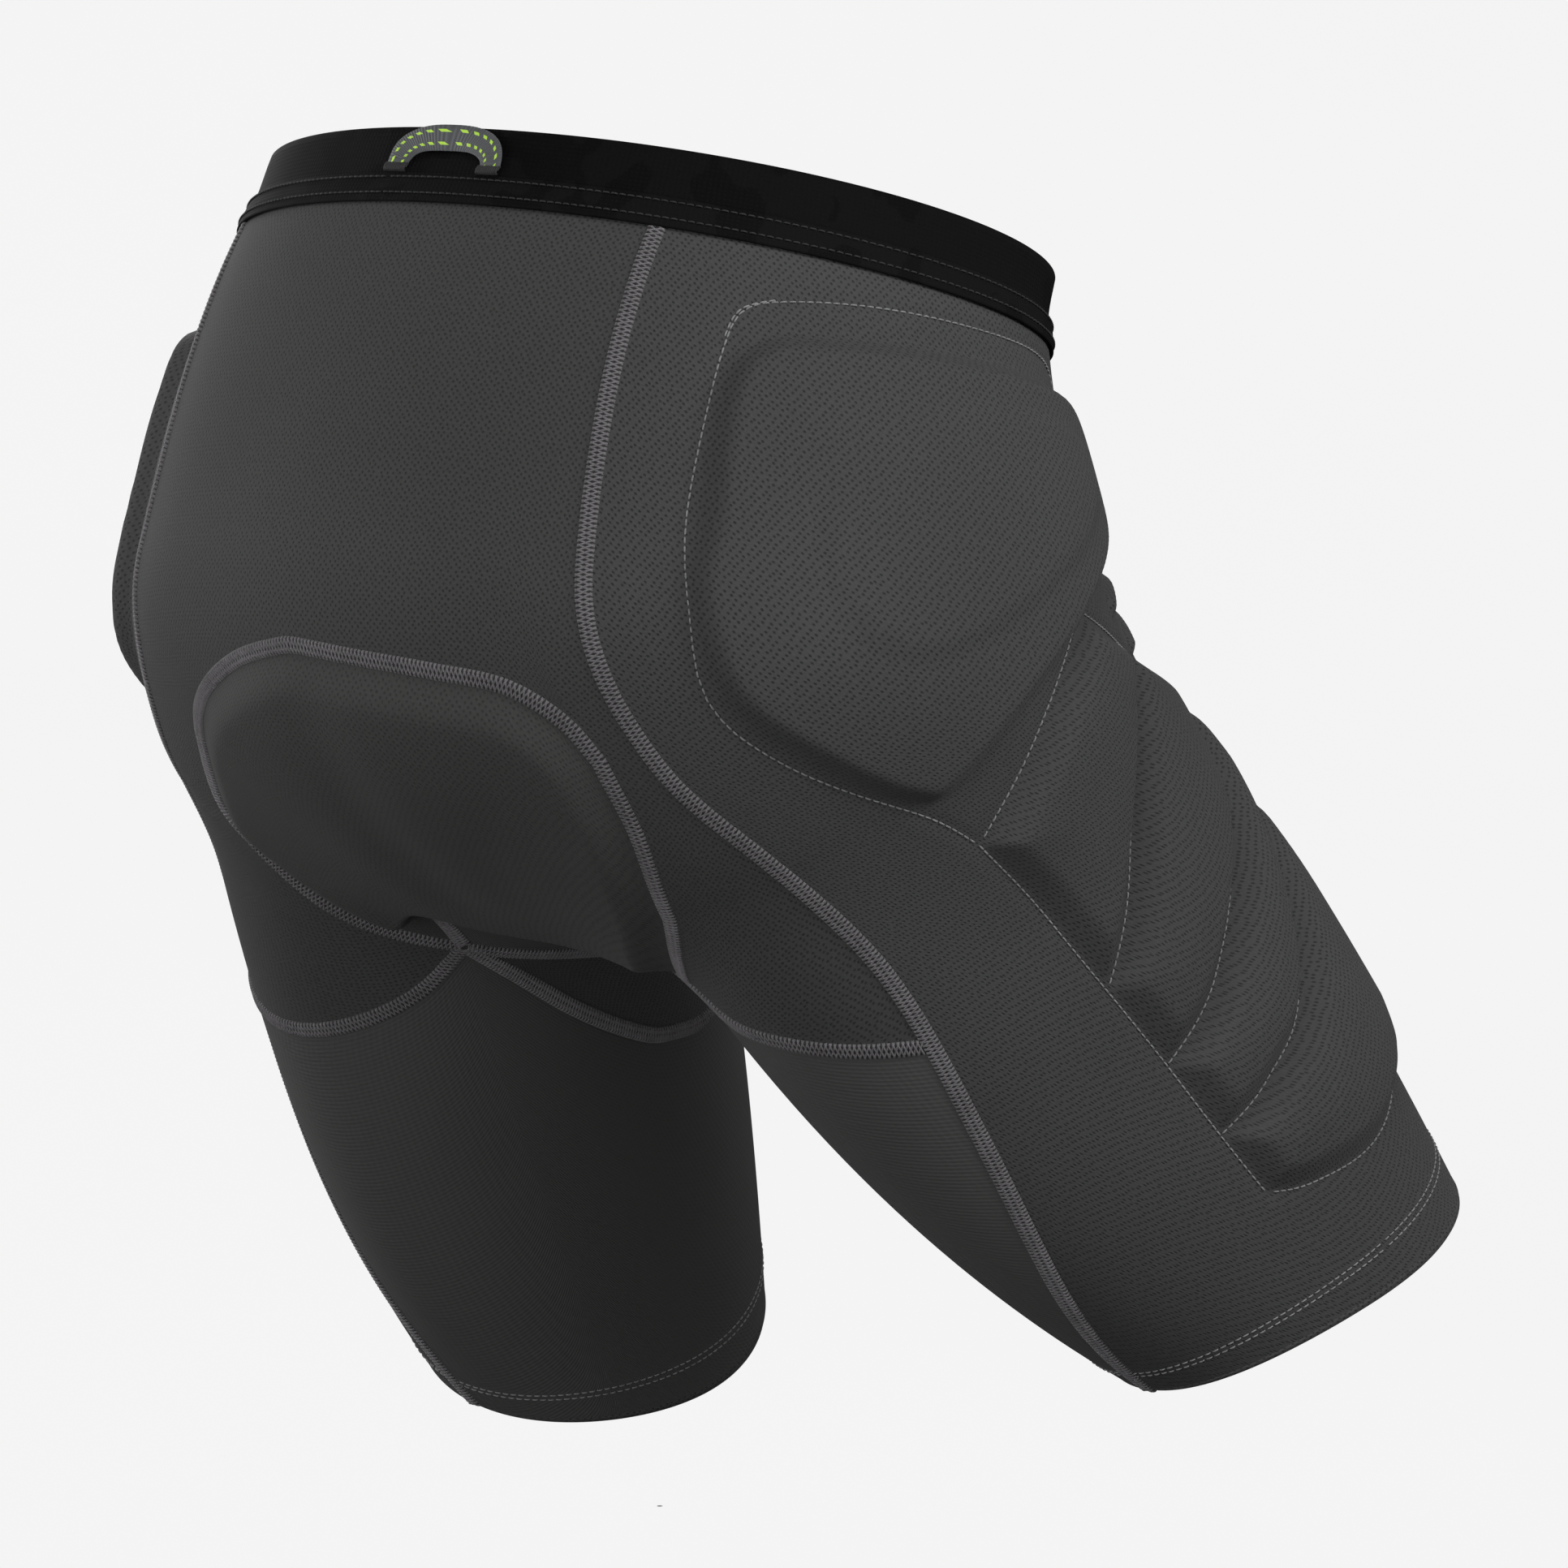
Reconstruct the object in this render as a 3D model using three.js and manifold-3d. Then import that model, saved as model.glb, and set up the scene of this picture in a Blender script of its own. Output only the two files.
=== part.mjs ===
// Padded impact shorts, worn in a low riding stance: waistband, stretch panels joined by flat seams,
// hip and thigh foam between cover and lining, seat padding, turned hems and a hang loop.
// Millimetres. +X is the wearer's right, +Y is forward and +Z is up.
// The origin is the centre of the waist opening.
import Module from "manifold-3d";
import * as THREE from "three";
import { mergeVertices } from "three/addons/utils/BufferGeometryUtils.js";

// ---- Driving dimensions ----

const WAIST = { halfWidth: 152, halfDepth: 111, lean: 16 };
const HIPS = { halfWidth: 186, backDepth: 148, frontDepth: 115, below: 145, forward: 18, closing: 100 };
const HIP_JOINT = { out: 99, forward: -22, up: -166 };
const STANCE = {
  right: { side: 1, flex: 45, spread: 7.5, length: 280, hemFront: 10, hemOut: 3 },
  left: { side: -1, flex: 32, spread: 14, length: 292, hemFront: 5.5, hemOut: -8 },
};
// Half widths and half depths of a leg's section at the hip joint, mid thigh and hem.
const THIGH = { wide: [78, 66, 57], back: [85, 96, 69], front: [100, 96, 69] };
const ROUNDING = { trunkToLegs: 37, legToLeg: 40 };

const GAP = 0.35;
const FABRIC = 1.2;
const LINING = 0.8;
const BAND = { height: 27, thick: 1.8, bindingHeight: 10, bindingThick: 0.8 };
const SEAM = { width: 5.4, proud: 0.5, clearance: 1.2 };
const HEM = { height: 16, thick: 0.9, steps: 32 };
const GRIPPER = { height: 12, thick: 0.8 };
const HIP_FOAM = 9.5;
const THIGH_FOAM = 9;
const SEAT = { foam: 8, gap: 1.2, border: 10 };
const FOAM_SLOPE = 18;
const GROOVE = 6;
const HIP_MARGIN = 5;
const LOOP = { span: 50, rise: 15.5, ribbon: 9, topShare: 0.95, thick: 1, across: 22, gap: 0.6 };

// ---- Outlines on a leg's wrapped surface ----
// Each point is [degrees round the leg, percent of the way from waist to hem]: 0 degrees is the
// outer side, 90 the front, -90 the back and 180 the inside of the leg.

const BACK_SEAM = [[-88, 7], [-87, 31], [-83, 41], [-74, 48], [-67, 57], [-68, 68], [-75, 81], [-92, 101]];
const FRONT_SEAM = [[80, 7], [84, 40], [92, 74], [100, 101]];
// The stance moves each leg's crotch seams in its own way. They all meet at the star point.
const CROTCH_SEAMS = {
  right: {
    star: [-110, 55.2],
    shoulder: [[-113, 35.4], [-104, 36.2], [-96, 37.2], [-91.5, 39], [-89.5, 41]],
    seatEdge: [[-89.5, 41], [-90, 45.2], [-95, 49.6], [-102, 52.6]],
    seatBase: [-119, 52.6],
    gussetEdge: [[-128, 59], [-146, 62.5], [-164, 65.5], [-182, 66]],
    rearCross: [[-100, 57.3], [-87, 58.8], [-67, 61.9]],
    frontCross: [[-127, 62.5], [-147, 68], [-166, 71.5], [-184, 73.5], [-214, 75], [-267, 71]],
  },
  left: {
    star: [-129, 55.6],
    shoulder: [[-119, 35.6], [-114, 36.5], [-108, 38.2], [-103, 40.1], [-100, 41.7]],
    seatEdge: [[-100, 41.7], [-95, 47.1], [-102, 50.6], [-112, 53.3]],
    seatBase: [-127, 50.2],
    gussetEdge: [[-141, 57.5], [-158, 60.2], [-176, 63], [-192, 64.5]],
    rearCross: [[-119, 58.7], [-104, 61], [-87, 62.4], [-67, 62.6]],
    frontCross: [[-147, 63.3], [-166, 68.7], [-184, 71.8], [-214, 74], [-267, 71]],
  },
};
const HIP_REAR = [[-70, 16.5], [-70, 38.5]];
const HIP_FRONT = [[28, 14], [30, 31]];
const HIP_BASE = [[-70, 38.5], [-50, 46.6], [-3, 36.8], [30, 31]];
const THIGH_REAR = [[-44, 51.4], [-36, 59.8], [-27, 73.7], [-23, 88.4]];
const THIGH_FORE = [[-3, 37.5], [27, 43.5], [60, 52], [78, 66], [80, 91]];
const GROOVES = [
  [[-3, 37.5], [-19, 43.2], [-32, 47.9], [-44, 51.4]],
  [[27, 43.5], [8, 54.8], [-12, 62.5], [-31, 67]],
  [[64, 54], [50, 67], [4, 73.4], [-26, 75]],
  [[78, 68], [37, 79.9], [0, 82.2], [-24, 82.4]],
  [[80, 91], [26, 91.5], [-8, 90], [-23, 88.4]],
];

// Millimetres along the surface for one degree and one percent.
const WRAP_DEGREE = 1.43;
const WRAP_PERCENT = 4;
// A panel's border is drawn in by this much to leave room for the seam.
const BESIDE_SEAM = SEAM.width / 2 + SEAM.clearance;
const PANEL_TOP = BAND.height + GAP - BESIDE_SEAM;
// Places on the body's centre line, in degrees from the back through the crotch to the front.
const SEAT_TOP = 3.4;
const SEAT_BASE = 59;
const GUSSET_FRONT = 143;

// ---- The wearer's shape, which the fabric follows ----

const radians = THREE.MathUtils.degToRad;
const mix = THREE.MathUtils.lerp;
const smooth = (x) => THREE.MathUtils.smoothstep(x, 0, 1);
const X = new THREE.Vector3(1, 0, 0);
const lean = radians(WAIST.lean);
const trunkUp = new THREE.Vector3(0, Math.sin(lean), Math.cos(lean));
const trunkForward = new THREE.Vector3(0, Math.cos(lean), -Math.sin(lean));

function makeLeg({ side, flex, spread, length, hemFront, hemOut }, seams) {
  const down = new THREE.Vector3(
    side * Math.sin(radians(spread)),
    Math.cos(radians(spread)) * Math.sin(radians(flex)),
    -Math.cos(radians(spread)) * Math.cos(radians(flex)),
  );
  const joint = new THREE.Vector3(side * HIP_JOINT.out, HIP_JOINT.forward, HIP_JOINT.up);
  const waist = joint.clone().addScaledVector(trunkUp, -joint.dot(trunkUp));
  const hem = joint.clone().addScaledVector(down, length);
  const out = X.clone().multiplyScalar(side).addScaledVector(down, -side * down.x).normalize();
  const fore = out.clone().cross(down).multiplyScalar(side);
  return { side, down, joint, waist, hem, out, fore, length, hemFront, hemOut, ...seams };
}

const legs = {
  right: makeLeg(STANCE.right, CROTCH_SEAMS.right),
  left: makeLeg(STANCE.left, CROTCH_SEAMS.left),
};

function smoothMin(a, b, radius) {
  const h = Math.max(radius - Math.abs(a - b), 0) / radius;
  return Math.min(a, b) - (h * h * radius) / 4;
}

// A size that grows from the waist to the hips, with a first slope of its own.
function growth(depth, from, to, slope) {
  const t = THREE.MathUtils.clamp(depth / HIPS.below, 0, 1);
  return mix(from, to, smooth(t)) + slope * HIPS.below * t * (1 - t) ** 2;
}

function trunkSection(depth) {
  return {
    wide: growth(depth, WAIST.halfWidth, HIPS.halfWidth, 0.35),
    back: growth(depth, WAIST.halfDepth, HIPS.backDepth, 0.45),
    front: growth(depth, WAIST.halfDepth, HIPS.frontDepth, 0),
    centre: growth(depth, 0, HIPS.forward, 0),
  };
}

function trunkField(p) {
  const depth = -p.dot(trunkUp);
  const section = trunkSection(depth);
  const y = p.dot(trunkForward) - section.centre;
  const deep = y < 0 ? section.back : section.front;
  const below = Math.max(depth - HIPS.below, 0) / HIPS.closing;
  return (Math.hypot(p.x / section.wide, y / deep, below) - 1) * Math.min(section.wide, deep);
}

// The curve through three sizes at the hip joint, mid thigh and hem.
function alongThigh([top, middle, hem], t) {
  return top * (1 - t) * (1 - 2 * t) + 4 * middle * t * (1 - t) + hem * t * (2 * t - 1);
}

function legField(p, leg) {
  const v = p.clone().sub(leg.joint);
  const down = v.dot(leg.down);
  const x = v.dot(leg.out);
  const y = v.dot(leg.fore);
  const t = THREE.MathUtils.clamp(down / leg.length, 0, 1.15);
  const wide = alongThigh(THIGH.wide, t);
  const deep = alongThigh(y < 0 ? THIGH.back : THIGH.front, t);
  const above = Math.max(-down / THIGH.wide[0], 0);
  return (Math.hypot(x / wide, y / deep, above) - 1) * Math.min(wide, deep);
}

function bodyField(p) {
  const bothLegs = smoothMin(legField(p, legs.right), legField(p, legs.left), ROUNDING.legToLeg);
  return smoothMin(trunkField(p), bothLegs, ROUNDING.trunkToLegs);
}

function gradientAt(p) {
  const step = 0.5;
  const slope = (axis) => {
    const forwards = p.clone();
    const backwards = p.clone();
    forwards[axis] += step;
    backwards[axis] -= step;
    return (bodyField(forwards) - bodyField(backwards)) / (2 * step);
  };
  return new THREE.Vector3(slope("x"), slope("y"), slope("z"));
}

// The nearest point of the surface, found in short steps along the slope.
function settle(start) {
  const p = start.clone();
  for (let i = 0; i < 14; i += 1) {
    const g = gradientAt(p);
    const step = THREE.MathUtils.clamp(bodyField(p) / g.lengthSq(), -25, 25);
    p.addScaledVector(g, -step);
  }
  return p;
}

// Where a ray from inside the body first leaves it.
function exitPoint(origin, direction) {
  const at = (r) => origin.clone().addScaledVector(direction, r);
  let inside = 5;
  let outside = 14;
  while (outside < 240 && bodyField(at(outside)) <= 0) {
    inside = outside;
    outside += 9;
  }
  for (let i = 0; i < 22; i += 1) {
    const middle = (inside + outside) / 2;
    if (bodyField(at(middle)) <= 0) inside = middle;
    else outside = middle;
  }
  return at(outside);
}

// ---- Places on the surface ----

// The point at an angle round a leg and a percentage of the way down it.
function onLeg(leg, degrees, percent) {
  const turn = radians(degrees);
  const down = percent / 100;
  const hemTilt = (leg.hemFront * Math.sin(turn) + leg.hemOut * Math.cos(turn)) / leg.length;
  const t = down + down ** 4 * hemTilt;
  const centre = leg.waist.clone().multiplyScalar((1 - t) ** 2);
  centre.addScaledVector(leg.joint, 2 * t * (1 - t)).addScaledVector(leg.hem, t * t);
  const normal = trunkUp.clone().negate().lerp(leg.down, smooth((t - 0.06) / 0.74)).normalize();
  const out = X.clone().multiplyScalar(leg.side);
  out.addScaledVector(normal, -normal.dot(out)).normalize();
  const fore = out.clone().cross(normal).multiplyScalar(leg.side);
  const direction = out.multiplyScalar(Math.cos(turn)).addScaledVector(fore, Math.sin(turn));
  return exitPoint(centre, direction);
}

// The point of the trunk at an angle from centre back, towards the right, and a depth below the waist.
function onTrunk(degrees, depth) {
  const section = trunkSection(depth);
  const turn = radians(degrees);
  const deep = Math.cos(turn) > 0 ? section.back : section.front;
  return new THREE.Vector3(section.wide * Math.sin(turn), 0, 0)
    .addScaledVector(trunkForward, section.centre - deep * Math.cos(turn))
    .addScaledVector(trunkUp, -depth);
}

// The percentage of a leg's wrap at a height above the hem's edge.
const aboveHem = (leg, height) => 100 - (50 * height) / leg.length;

// The percentage of a leg's wrap at which an angle meets the upper edge of the panels.
function bandEdgePercent(leg, degrees) {
  let low = 0;
  let high = 25;
  for (let i = 0; i < 14; i += 1) {
    const middle = (low + high) / 2;
    if (-onLeg(leg, degrees, middle).dot(trunkUp) < PANEL_TOP) low = middle;
    else high = middle;
  }
  return high;
}

// Centre line of the body: 0 degrees is the back, 90 straight down and 180 the front.
const PELVIS = new THREE.Vector3(0, -10, -130);
function onCentre(degrees) {
  const turn = radians(degrees);
  return exitPoint(PELVIS, new THREE.Vector3(0, -Math.cos(turn), -Math.sin(turn)));
}

// ---- Curves on the surface: each is a function of a share from 0 to 1 ----

const wrapCurve = (outline) => {
  const curve = new THREE.SplineCurve(outline.map(([d, p]) => new THREE.Vector2(d, p)));
  return (s) => curve.getPointAt(THREE.MathUtils.clamp(s, 0, 1));
};

const legCurve = (leg, outline) => {
  const curve = wrapCurve(outline);
  return (s) => {
    const at = curve(s);
    return onLeg(leg, at.x, at.y);
  };
};

// The smooth curve through a few points, drawn onto the surface: the points have equal shares.
const throughPoints = (points) => {
  const curve = new THREE.CatmullRomCurve3(points, false, "centripetal");
  return (s) => settle(curve.getPoint(THREE.MathUtils.clamp(s, 0, 1)));
};

const bandArc = (fromDegrees, toDegrees) => (s) => onTrunk(mix(fromDegrees, toDegrees, s), PANEL_TOP);
const centreLine = (from, to) => (s) => onCentre(mix(from, to, s));
// The centre line's place for a point of it.
function centreDegrees(point) {
  const degrees = THREE.MathUtils.radToDeg(Math.atan2(PELVIS.z - point.z, PELVIS.y - point.y));
  return point.y > 0 ? (degrees + 360) % 360 : degrees;
}
const reversed = (curve) => (s) => curve(1 - s);
const part = (curve, from, to) => (s) => curve(mix(from, to, s));

// Curves run one after the other, changing at the shares given.
const chain = (curves, changes) => (s) => {
  const ends = [0, ...changes, 1];
  const k = Math.min(changes.filter((change) => s >= change).length, curves.length - 1);
  return curves[k]((s - ends[k]) / (ends[k + 1] - ends[k]));
};

// The share of a curve at which a measure of its points first reaches a value.
function shareWhere(curve, measure, value) {
  let low = 0;
  let high = 1;
  for (let i = 0; i < 18; i += 1) {
    const middle = (low + high) / 2;
    if (measure(curve(middle)) < value) low = middle;
    else high = middle;
  }
  return high;
}

// A patch between four curves: its rows run from top to base and its columns from left to right.
function coons(left, right, top, base, rows, columns) {
  const [a, b, c, d] = [top(0), top(1), base(0), base(1)];
  return Array.from({ length: rows + 1 }, (_, i) => {
    const v = i / rows;
    const [start, end] = [left(v), right(v)];
    return Array.from({ length: columns + 1 }, (_, j) => {
      const u = j / columns;
      return start.clone().multiplyScalar(1 - u).addScaledVector(end, u)
        .addScaledVector(top(u), 1 - v).addScaledVector(base(u), v)
        .addScaledVector(a, -(1 - u) * (1 - v)).addScaledVector(b, -u * (1 - v))
        .addScaledVector(c, -(1 - u) * v).addScaledVector(d, -u * v);
    });
  });
}

const settled = (grid) => grid.map((row) => row.map(settle));

// ---- Solids ----

function geometryFrom(points, triangles) {
  const geometry = new THREE.BufferGeometry().setFromPoints(points);
  geometry.setIndex(triangles.flat());
  geometry.computeVertexNormals();
  return geometry;
}

// The points of several grids, joined where they meet, with triangles that face outwards.
function joinGrids(grids) {
  const points = [];
  const rises = [];
  const known = new Map();
  const idOf = (point) => {
    const key = point.toArray().map((c) => Math.round(c * 50)).join();
    if (!known.has(key)) {
      known.set(key, points.length);
      points.push(point.clone());
      rises.push(point.rise ?? 0);
    }
    return known.get(key);
  };
  const triangles = [];
  const addTriangle = (a, b, c) => {
    if (a === b || b === c || c === a) return;
    const normal = points[b].clone().sub(points[a]).cross(points[c].clone().sub(points[a]));
    triangles.push(normal.dot(gradientAt(points[a])) > 0 ? [a, b, c] : [a, c, b]);
  };
  for (const grid of grids) {
    for (let i = 0; i < grid.length - 1; i += 1) {
      for (let j = 0; j < grid[i].length - 1; j += 1) {
        const [a, b] = [idOf(grid[i][j]), idOf(grid[i + 1][j])];
        const [c, d] = [idOf(grid[i + 1][j + 1]), idOf(grid[i][j + 1])];
        addTriangle(a, b, c);
        addTriangle(a, c, d);
      }
    }
  }
  return { points, rises, triangles };
}

// The edges that only one triangle has.
function borderOf(triangles) {
  const edges = triangles.flatMap(([a, b, c]) => [[a, b], [b, c], [c, a]]);
  const seen = new Set(edges.map(([a, b]) => `${a} ${b}`));
  return edges.filter(([a, b]) => !seen.has(`${b} ${a}`));
}

// Draws a sheet's border in by a margin, to leave room for a seam or a neighbour.
function drawIn(points, border, margin) {
  const inward = new Map();
  for (const [a, b] of border) {
    const across = gradientAt(points[a]).cross(points[b].clone().sub(points[a])).normalize();
    for (const id of [a, b]) inward.set(id, [...(inward.get(id) ?? []), across]);
  }
  for (const [id, [first, second]] of inward) {
    const spread = Math.max(0.4, 1 + first.dot(second));
    points[id] = settle(points[id].addScaledVector(first.clone().add(second), margin / spread));
  }
}

// A closed sheet of fabric or foam over surface grids, between two heights above the surface. A grid
// point with a rise of its own lifts both faces there.
function sheet(grids, inner, outer, margin = 0) {
  const { points, rises, triangles } = joinGrids(grids);
  const border = borderOf(triangles);
  if (margin > 0) drawIn(points, border, margin);
  const lifted = (height) =>
    points.map((point, k) =>
      point.clone().addScaledVector(gradientAt(point).normalize(), height + rises[k]));
  const count = points.length;
  const under = triangles.map(([a, b, c]) => [c + count, b + count, a + count]);
  const walls = border.flatMap(([a, b]) => [[b, a, a + count], [b, a + count, b + count]]);
  return geometryFrom([...lifted(outer), ...lifted(inner)], [...triangles, ...under, ...walls]);
}

// A flat seam of thread along a curve, in the space between two panels. It starts and ends short of
// the seams that it meets.
function seamSolid(curve, steps, startTrim = 0, endTrim = 0) {
  const length = new THREE.CatmullRomCurve3(
    Array.from({ length: steps + 1 }, (_, k) => curve(k / steps))).getLength();
  const trimmed = part(curve, startTrim / length, 1 - endTrim / length);
  const points = Array.from({ length: steps + 1 }, (_, k) => trimmed(k / steps));
  const half = SEAM.width / 2;
  const grid = points.map((point, k) => {
    const tangent = points[Math.min(k + 1, steps)].clone().sub(points[Math.max(k - 1, 0)]);
    const across = tangent.cross(gradientAt(point)).normalize();
    return [-half, 0, half].map((distance) => point.clone().addScaledVector(across, distance));
  });
  return sheet([grid], -FABRIC, SEAM.proud);
}

const wasm = await Module();
wasm.setup();

function solidOf(geometry) {
  const bare = new THREE.BufferGeometry().setAttribute("position", geometry.attributes.position);
  bare.setIndex(geometry.index);
  const merged = mergeVertices(bare, 1e-3);
  const vertProperties = new Float32Array(merged.attributes.position.array);
  const triVerts = new Uint32Array(merged.index.array);
  return new wasm.Manifold(new wasm.Mesh({ numProp: 3, vertProperties, triVerts }));
}

// What is left of one solid after another is cut from it: its largest body.
function cut(geometry, tool) {
  const left = solidOf(geometry).subtract(solidOf(tool)).decompose();
  const largest = left.reduce((a, b) => (b.volume() > a.volume() ? b : a));
  const mesh = largest.getMesh();
  const result = new THREE.BufferGeometry();
  result.setAttribute("position", new THREE.BufferAttribute(mesh.vertProperties, 3));
  result.setIndex(new THREE.BufferAttribute(mesh.triVerts, 1));
  result.computeVertexNormals();
  return result;
}

const group = new THREE.Group();

function add(name, geometry, look) {
  const material = new THREE.MeshStandardMaterial({ metalness: 0, ...look });
  const mesh = new THREE.Mesh(geometry, material);
  mesh.name = name;
  group.add(mesh);
  return mesh;
}

const KNIT = { color: 0x343536, roughness: 0.85 };
const SMOOTH_KNIT = { color: 0x2c2d2e, roughness: 0.8 };
const ELASTIC = { color: 0x0f0f11, roughness: 0.8 };
const FOAM = { color: 0x3a3d40, roughness: 0.95 };
const MESH_LINING = { color: 0x1c1d1f, roughness: 0.9 };
const THREAD = { color: 0x5a5759, roughness: 0.75 };
const RIBBON = { color: 0x474a50, roughness: 0.7 };
const SILICONE = { color: 0x26282a, roughness: 0.5 };

// ---- Waistband ----

const WAIST_STEPS = 48;

function bandRings(depths) {
  return depths.map((depth) =>
    Array.from({ length: WAIST_STEPS + 1 }, (_, k) =>
      onTrunk((360 * (k % WAIST_STEPS)) / WAIST_STEPS, depth)));
}

const bandOuter = 0.2;
const bindingInner = bandOuter + GAP;
const bindingOuter = bindingInner + BAND.bindingThick;
const bindingTop = BAND.height - BAND.bindingHeight;
add("waistband_elastic", sheet([bandRings([0, bindingTop, BAND.height])], bandOuter - BAND.thick, bandOuter), ELASTIC);
add("waistband_binding", sheet([bandRings([bindingTop, BAND.height])], bindingInner, bindingOuter), ELASTIC);

// ---- Hang loop: a ribbon arch that stands on the binding, outside the elastic ----

function hangLoopGeometry() {
  const innerWide = LOOP.span / 2 - LOOP.ribbon;
  const innerRise = LOOP.rise - LOOP.ribbon * LOOP.topShare;
  const arch = new THREE.Shape();
  arch.moveTo(LOOP.span / 2, 0);
  arch.absellipse(0, 0, LOOP.span / 2, LOOP.rise, 0, Math.PI, false);
  arch.lineTo(-innerWide, 0);
  arch.absellipse(0, 0, innerWide, innerRise, Math.PI, 0, true);
  return new THREE.ExtrudeGeometry(arch, { depth: LOOP.thick, bevelEnabled: false, curveSegments: 12 });
}

const loopTurn = THREE.MathUtils.radToDeg(Math.asin(LOOP.across / WAIST.halfWidth));
const loopFoot = onTrunk(loopTurn, bindingTop);
const loopOut = gradientAt(loopFoot).normalize();
const loopAlong = new THREE.Vector3().crossVectors(trunkUp, loopOut).normalize();
const loopUp = new THREE.Vector3().crossVectors(loopOut, loopAlong).normalize();
const hang = add("hang_loop", hangLoopGeometry(), RIBBON);
hang.position.copy(loopFoot).addScaledVector(loopOut, bindingOuter + LOOP.gap);
hang.quaternion.setFromRotationMatrix(new THREE.Matrix4().makeBasis(loopAlong, loopUp, loopOut));

// ---- Cover height over the foam of a side ----

// How far a place on a leg's wrap is inside an outline, in millimetres along the surface.
function distanceInside(outline, degrees, percent) {
  const flat = (d, p) => new THREE.Vector2(d * WRAP_DEGREE, p * WRAP_PERCENT);
  const points = outline.map(([d, p]) => flat(d, p));
  const at = flat(degrees, percent);
  let nearest = Infinity;
  let inside = false;
  points.forEach((b, k) => {
    const a = points.at(k - 1);
    const edge = b.clone().sub(a);
    const share = THREE.MathUtils.clamp(at.clone().sub(a).dot(edge) / edge.lengthSq(), 0, 1);
    nearest = Math.min(nearest, a.clone().addScaledVector(edge, share).distanceTo(at));
    const crosses = a.y > at.y !== b.y > at.y;
    if (crosses && at.x < ((b.x - a.x) * (at.y - a.y)) / (b.y - a.y) + a.x) inside = !inside;
  });
  return inside ? nearest : -nearest;
}

const HIP_OUTLINE = [...HIP_REAR, ...HIP_BASE.slice(1, -1), ...HIP_FRONT.slice().reverse()];
const THIGH_OUTLINE = [
  ...GROOVES.at(0).slice().reverse(), ...THIGH_FORE.slice(1), ...GROOVES.at(-1).slice(1),
  ...THIGH_REAR.slice(1, -1).reverse(),
];

function coverRise(degrees, percent) {
  const share = (outline) => smooth(distanceInside(outline, degrees, percent) / FOAM_SLOPE + 0.5);
  return Math.max(HIP_FOAM * share(HIP_OUTLINE), THIGH_FOAM * share(THIGH_OUTLINE));
}

// Places on a leg's wrap turned into surface points.
function wrapped(leg, places, riseAt) {
  return places.map((row) =>
    row.map((at) => Object.assign(onLeg(leg, at.x, at.y), { rise: riseAt ? riseAt(at.x, at.y) : 0 })));
}

// ---- Side panel: one piece from waistband to hem, over the hip and thigh foam ----

function sidePanelGrid(leg) {
  const back = wrapCurve(BACK_SEAM);
  const front = wrapCurve(FRONT_SEAM);
  const hemEnd = aboveHem(leg, -BESIDE_SEAM);
  const rows = 24;
  const columns = 14;
  const places = Array.from({ length: rows + 1 }, (_, i) =>
    Array.from({ length: columns + 1 }, (_, j) => {
      const place = back(i / rows).lerp(front(i / rows), j / columns);
      const share = (place.y - BACK_SEAM[0][1]) / (BACK_SEAM.at(-1)[1] - BACK_SEAM[0][1]);
      return new THREE.Vector2(place.x, mix(bandEdgePercent(leg, place.x), hemEnd, share));
    }));
  return wrapped(leg, places, coverRise);
}

// ---- Foam of a side ----

function wrapPatch(leg, left, right, top, base, rows, columns) {
  const curves = [left, right, top, base].map(wrapCurve);
  return wrapped(leg, coons(...curves, rows, columns));
}

const FOAM_UNDER = -0.2;
const FOAM_BLOCK = 12;
const CUTTER_BLOCK = 36;
const LINING_TOP = -1.7;

function hipGrid(leg) {
  const top = [HIP_REAR[0], HIP_FRONT[0]];
  return wrapPatch(leg, HIP_REAR, HIP_FRONT, top, HIP_BASE, 8, 8);
}

// One band of thigh foam lies between two grooves, which run from the front line to the rear line.
function thighGrid(leg, upper, lower) {
  const front = [upper[0], lower[0]];
  const rear = [upper.at(-1), lower.at(-1)];
  return wrapPatch(leg, front, rear, upper, lower, 3, 7);
}

// ---- Seat, gusset, back and front ----

const placed = (leg, curve) => (s) => onLeg(leg, ...curve(s));
const crotchSeams = (leg) => ({
  seatEdge: wrapCurve([...leg.seatEdge, leg.star]),
  gussetEdge: wrapCurve([leg.star, ...leg.gussetEdge]),
  rearCross: wrapCurve([leg.star, ...leg.rearCross]),
  frontCross: wrapCurve([leg.star, ...leg.frontCross]),
});
const placedSeam = (leg, name) => placed(leg, crotchSeams(leg)[name]);
const star = (leg) => onLeg(leg, ...leg.star);
const shoulder = (leg) => leg.shoulder.map((place) => onLeg(leg, ...place));
const seatTop = throughPoints([
  ...shoulder(legs.left).reverse(), onCentre(SEAT_TOP), ...shoulder(legs.right),
]);
const seatBase = throughPoints([
  star(legs.left), onLeg(legs.left, ...legs.left.seatBase), onCentre(SEAT_BASE),
  onLeg(legs.right, ...legs.right.seatBase), star(legs.right),
]);
const gussetFront = throughPoints([
  placedSeam(legs.left, "gussetEdge")(1), onCentre(GUSSET_FRONT), placedSeam(legs.right, "gussetEdge")(1),
]);

function between(name, top, base, rows, columns) {
  const [left, right] = [placedSeam(legs.left, name), placedSeam(legs.right, name)];
  return settled(coons(left, right, top, base, rows, columns));
}

const seatGrid = (rows, columns) => between("seatEdge", seatTop, seatBase, rows, columns);
const gussetGrid = between("gussetEdge", seatBase, gussetFront, 8, 8);

// The half of a curve from the centre line to a leg.
const halfTowards = (leg, curve) => (leg.side > 0 ? part(curve, 0.5, 1) : part(curve, 0.5, 0));

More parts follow.
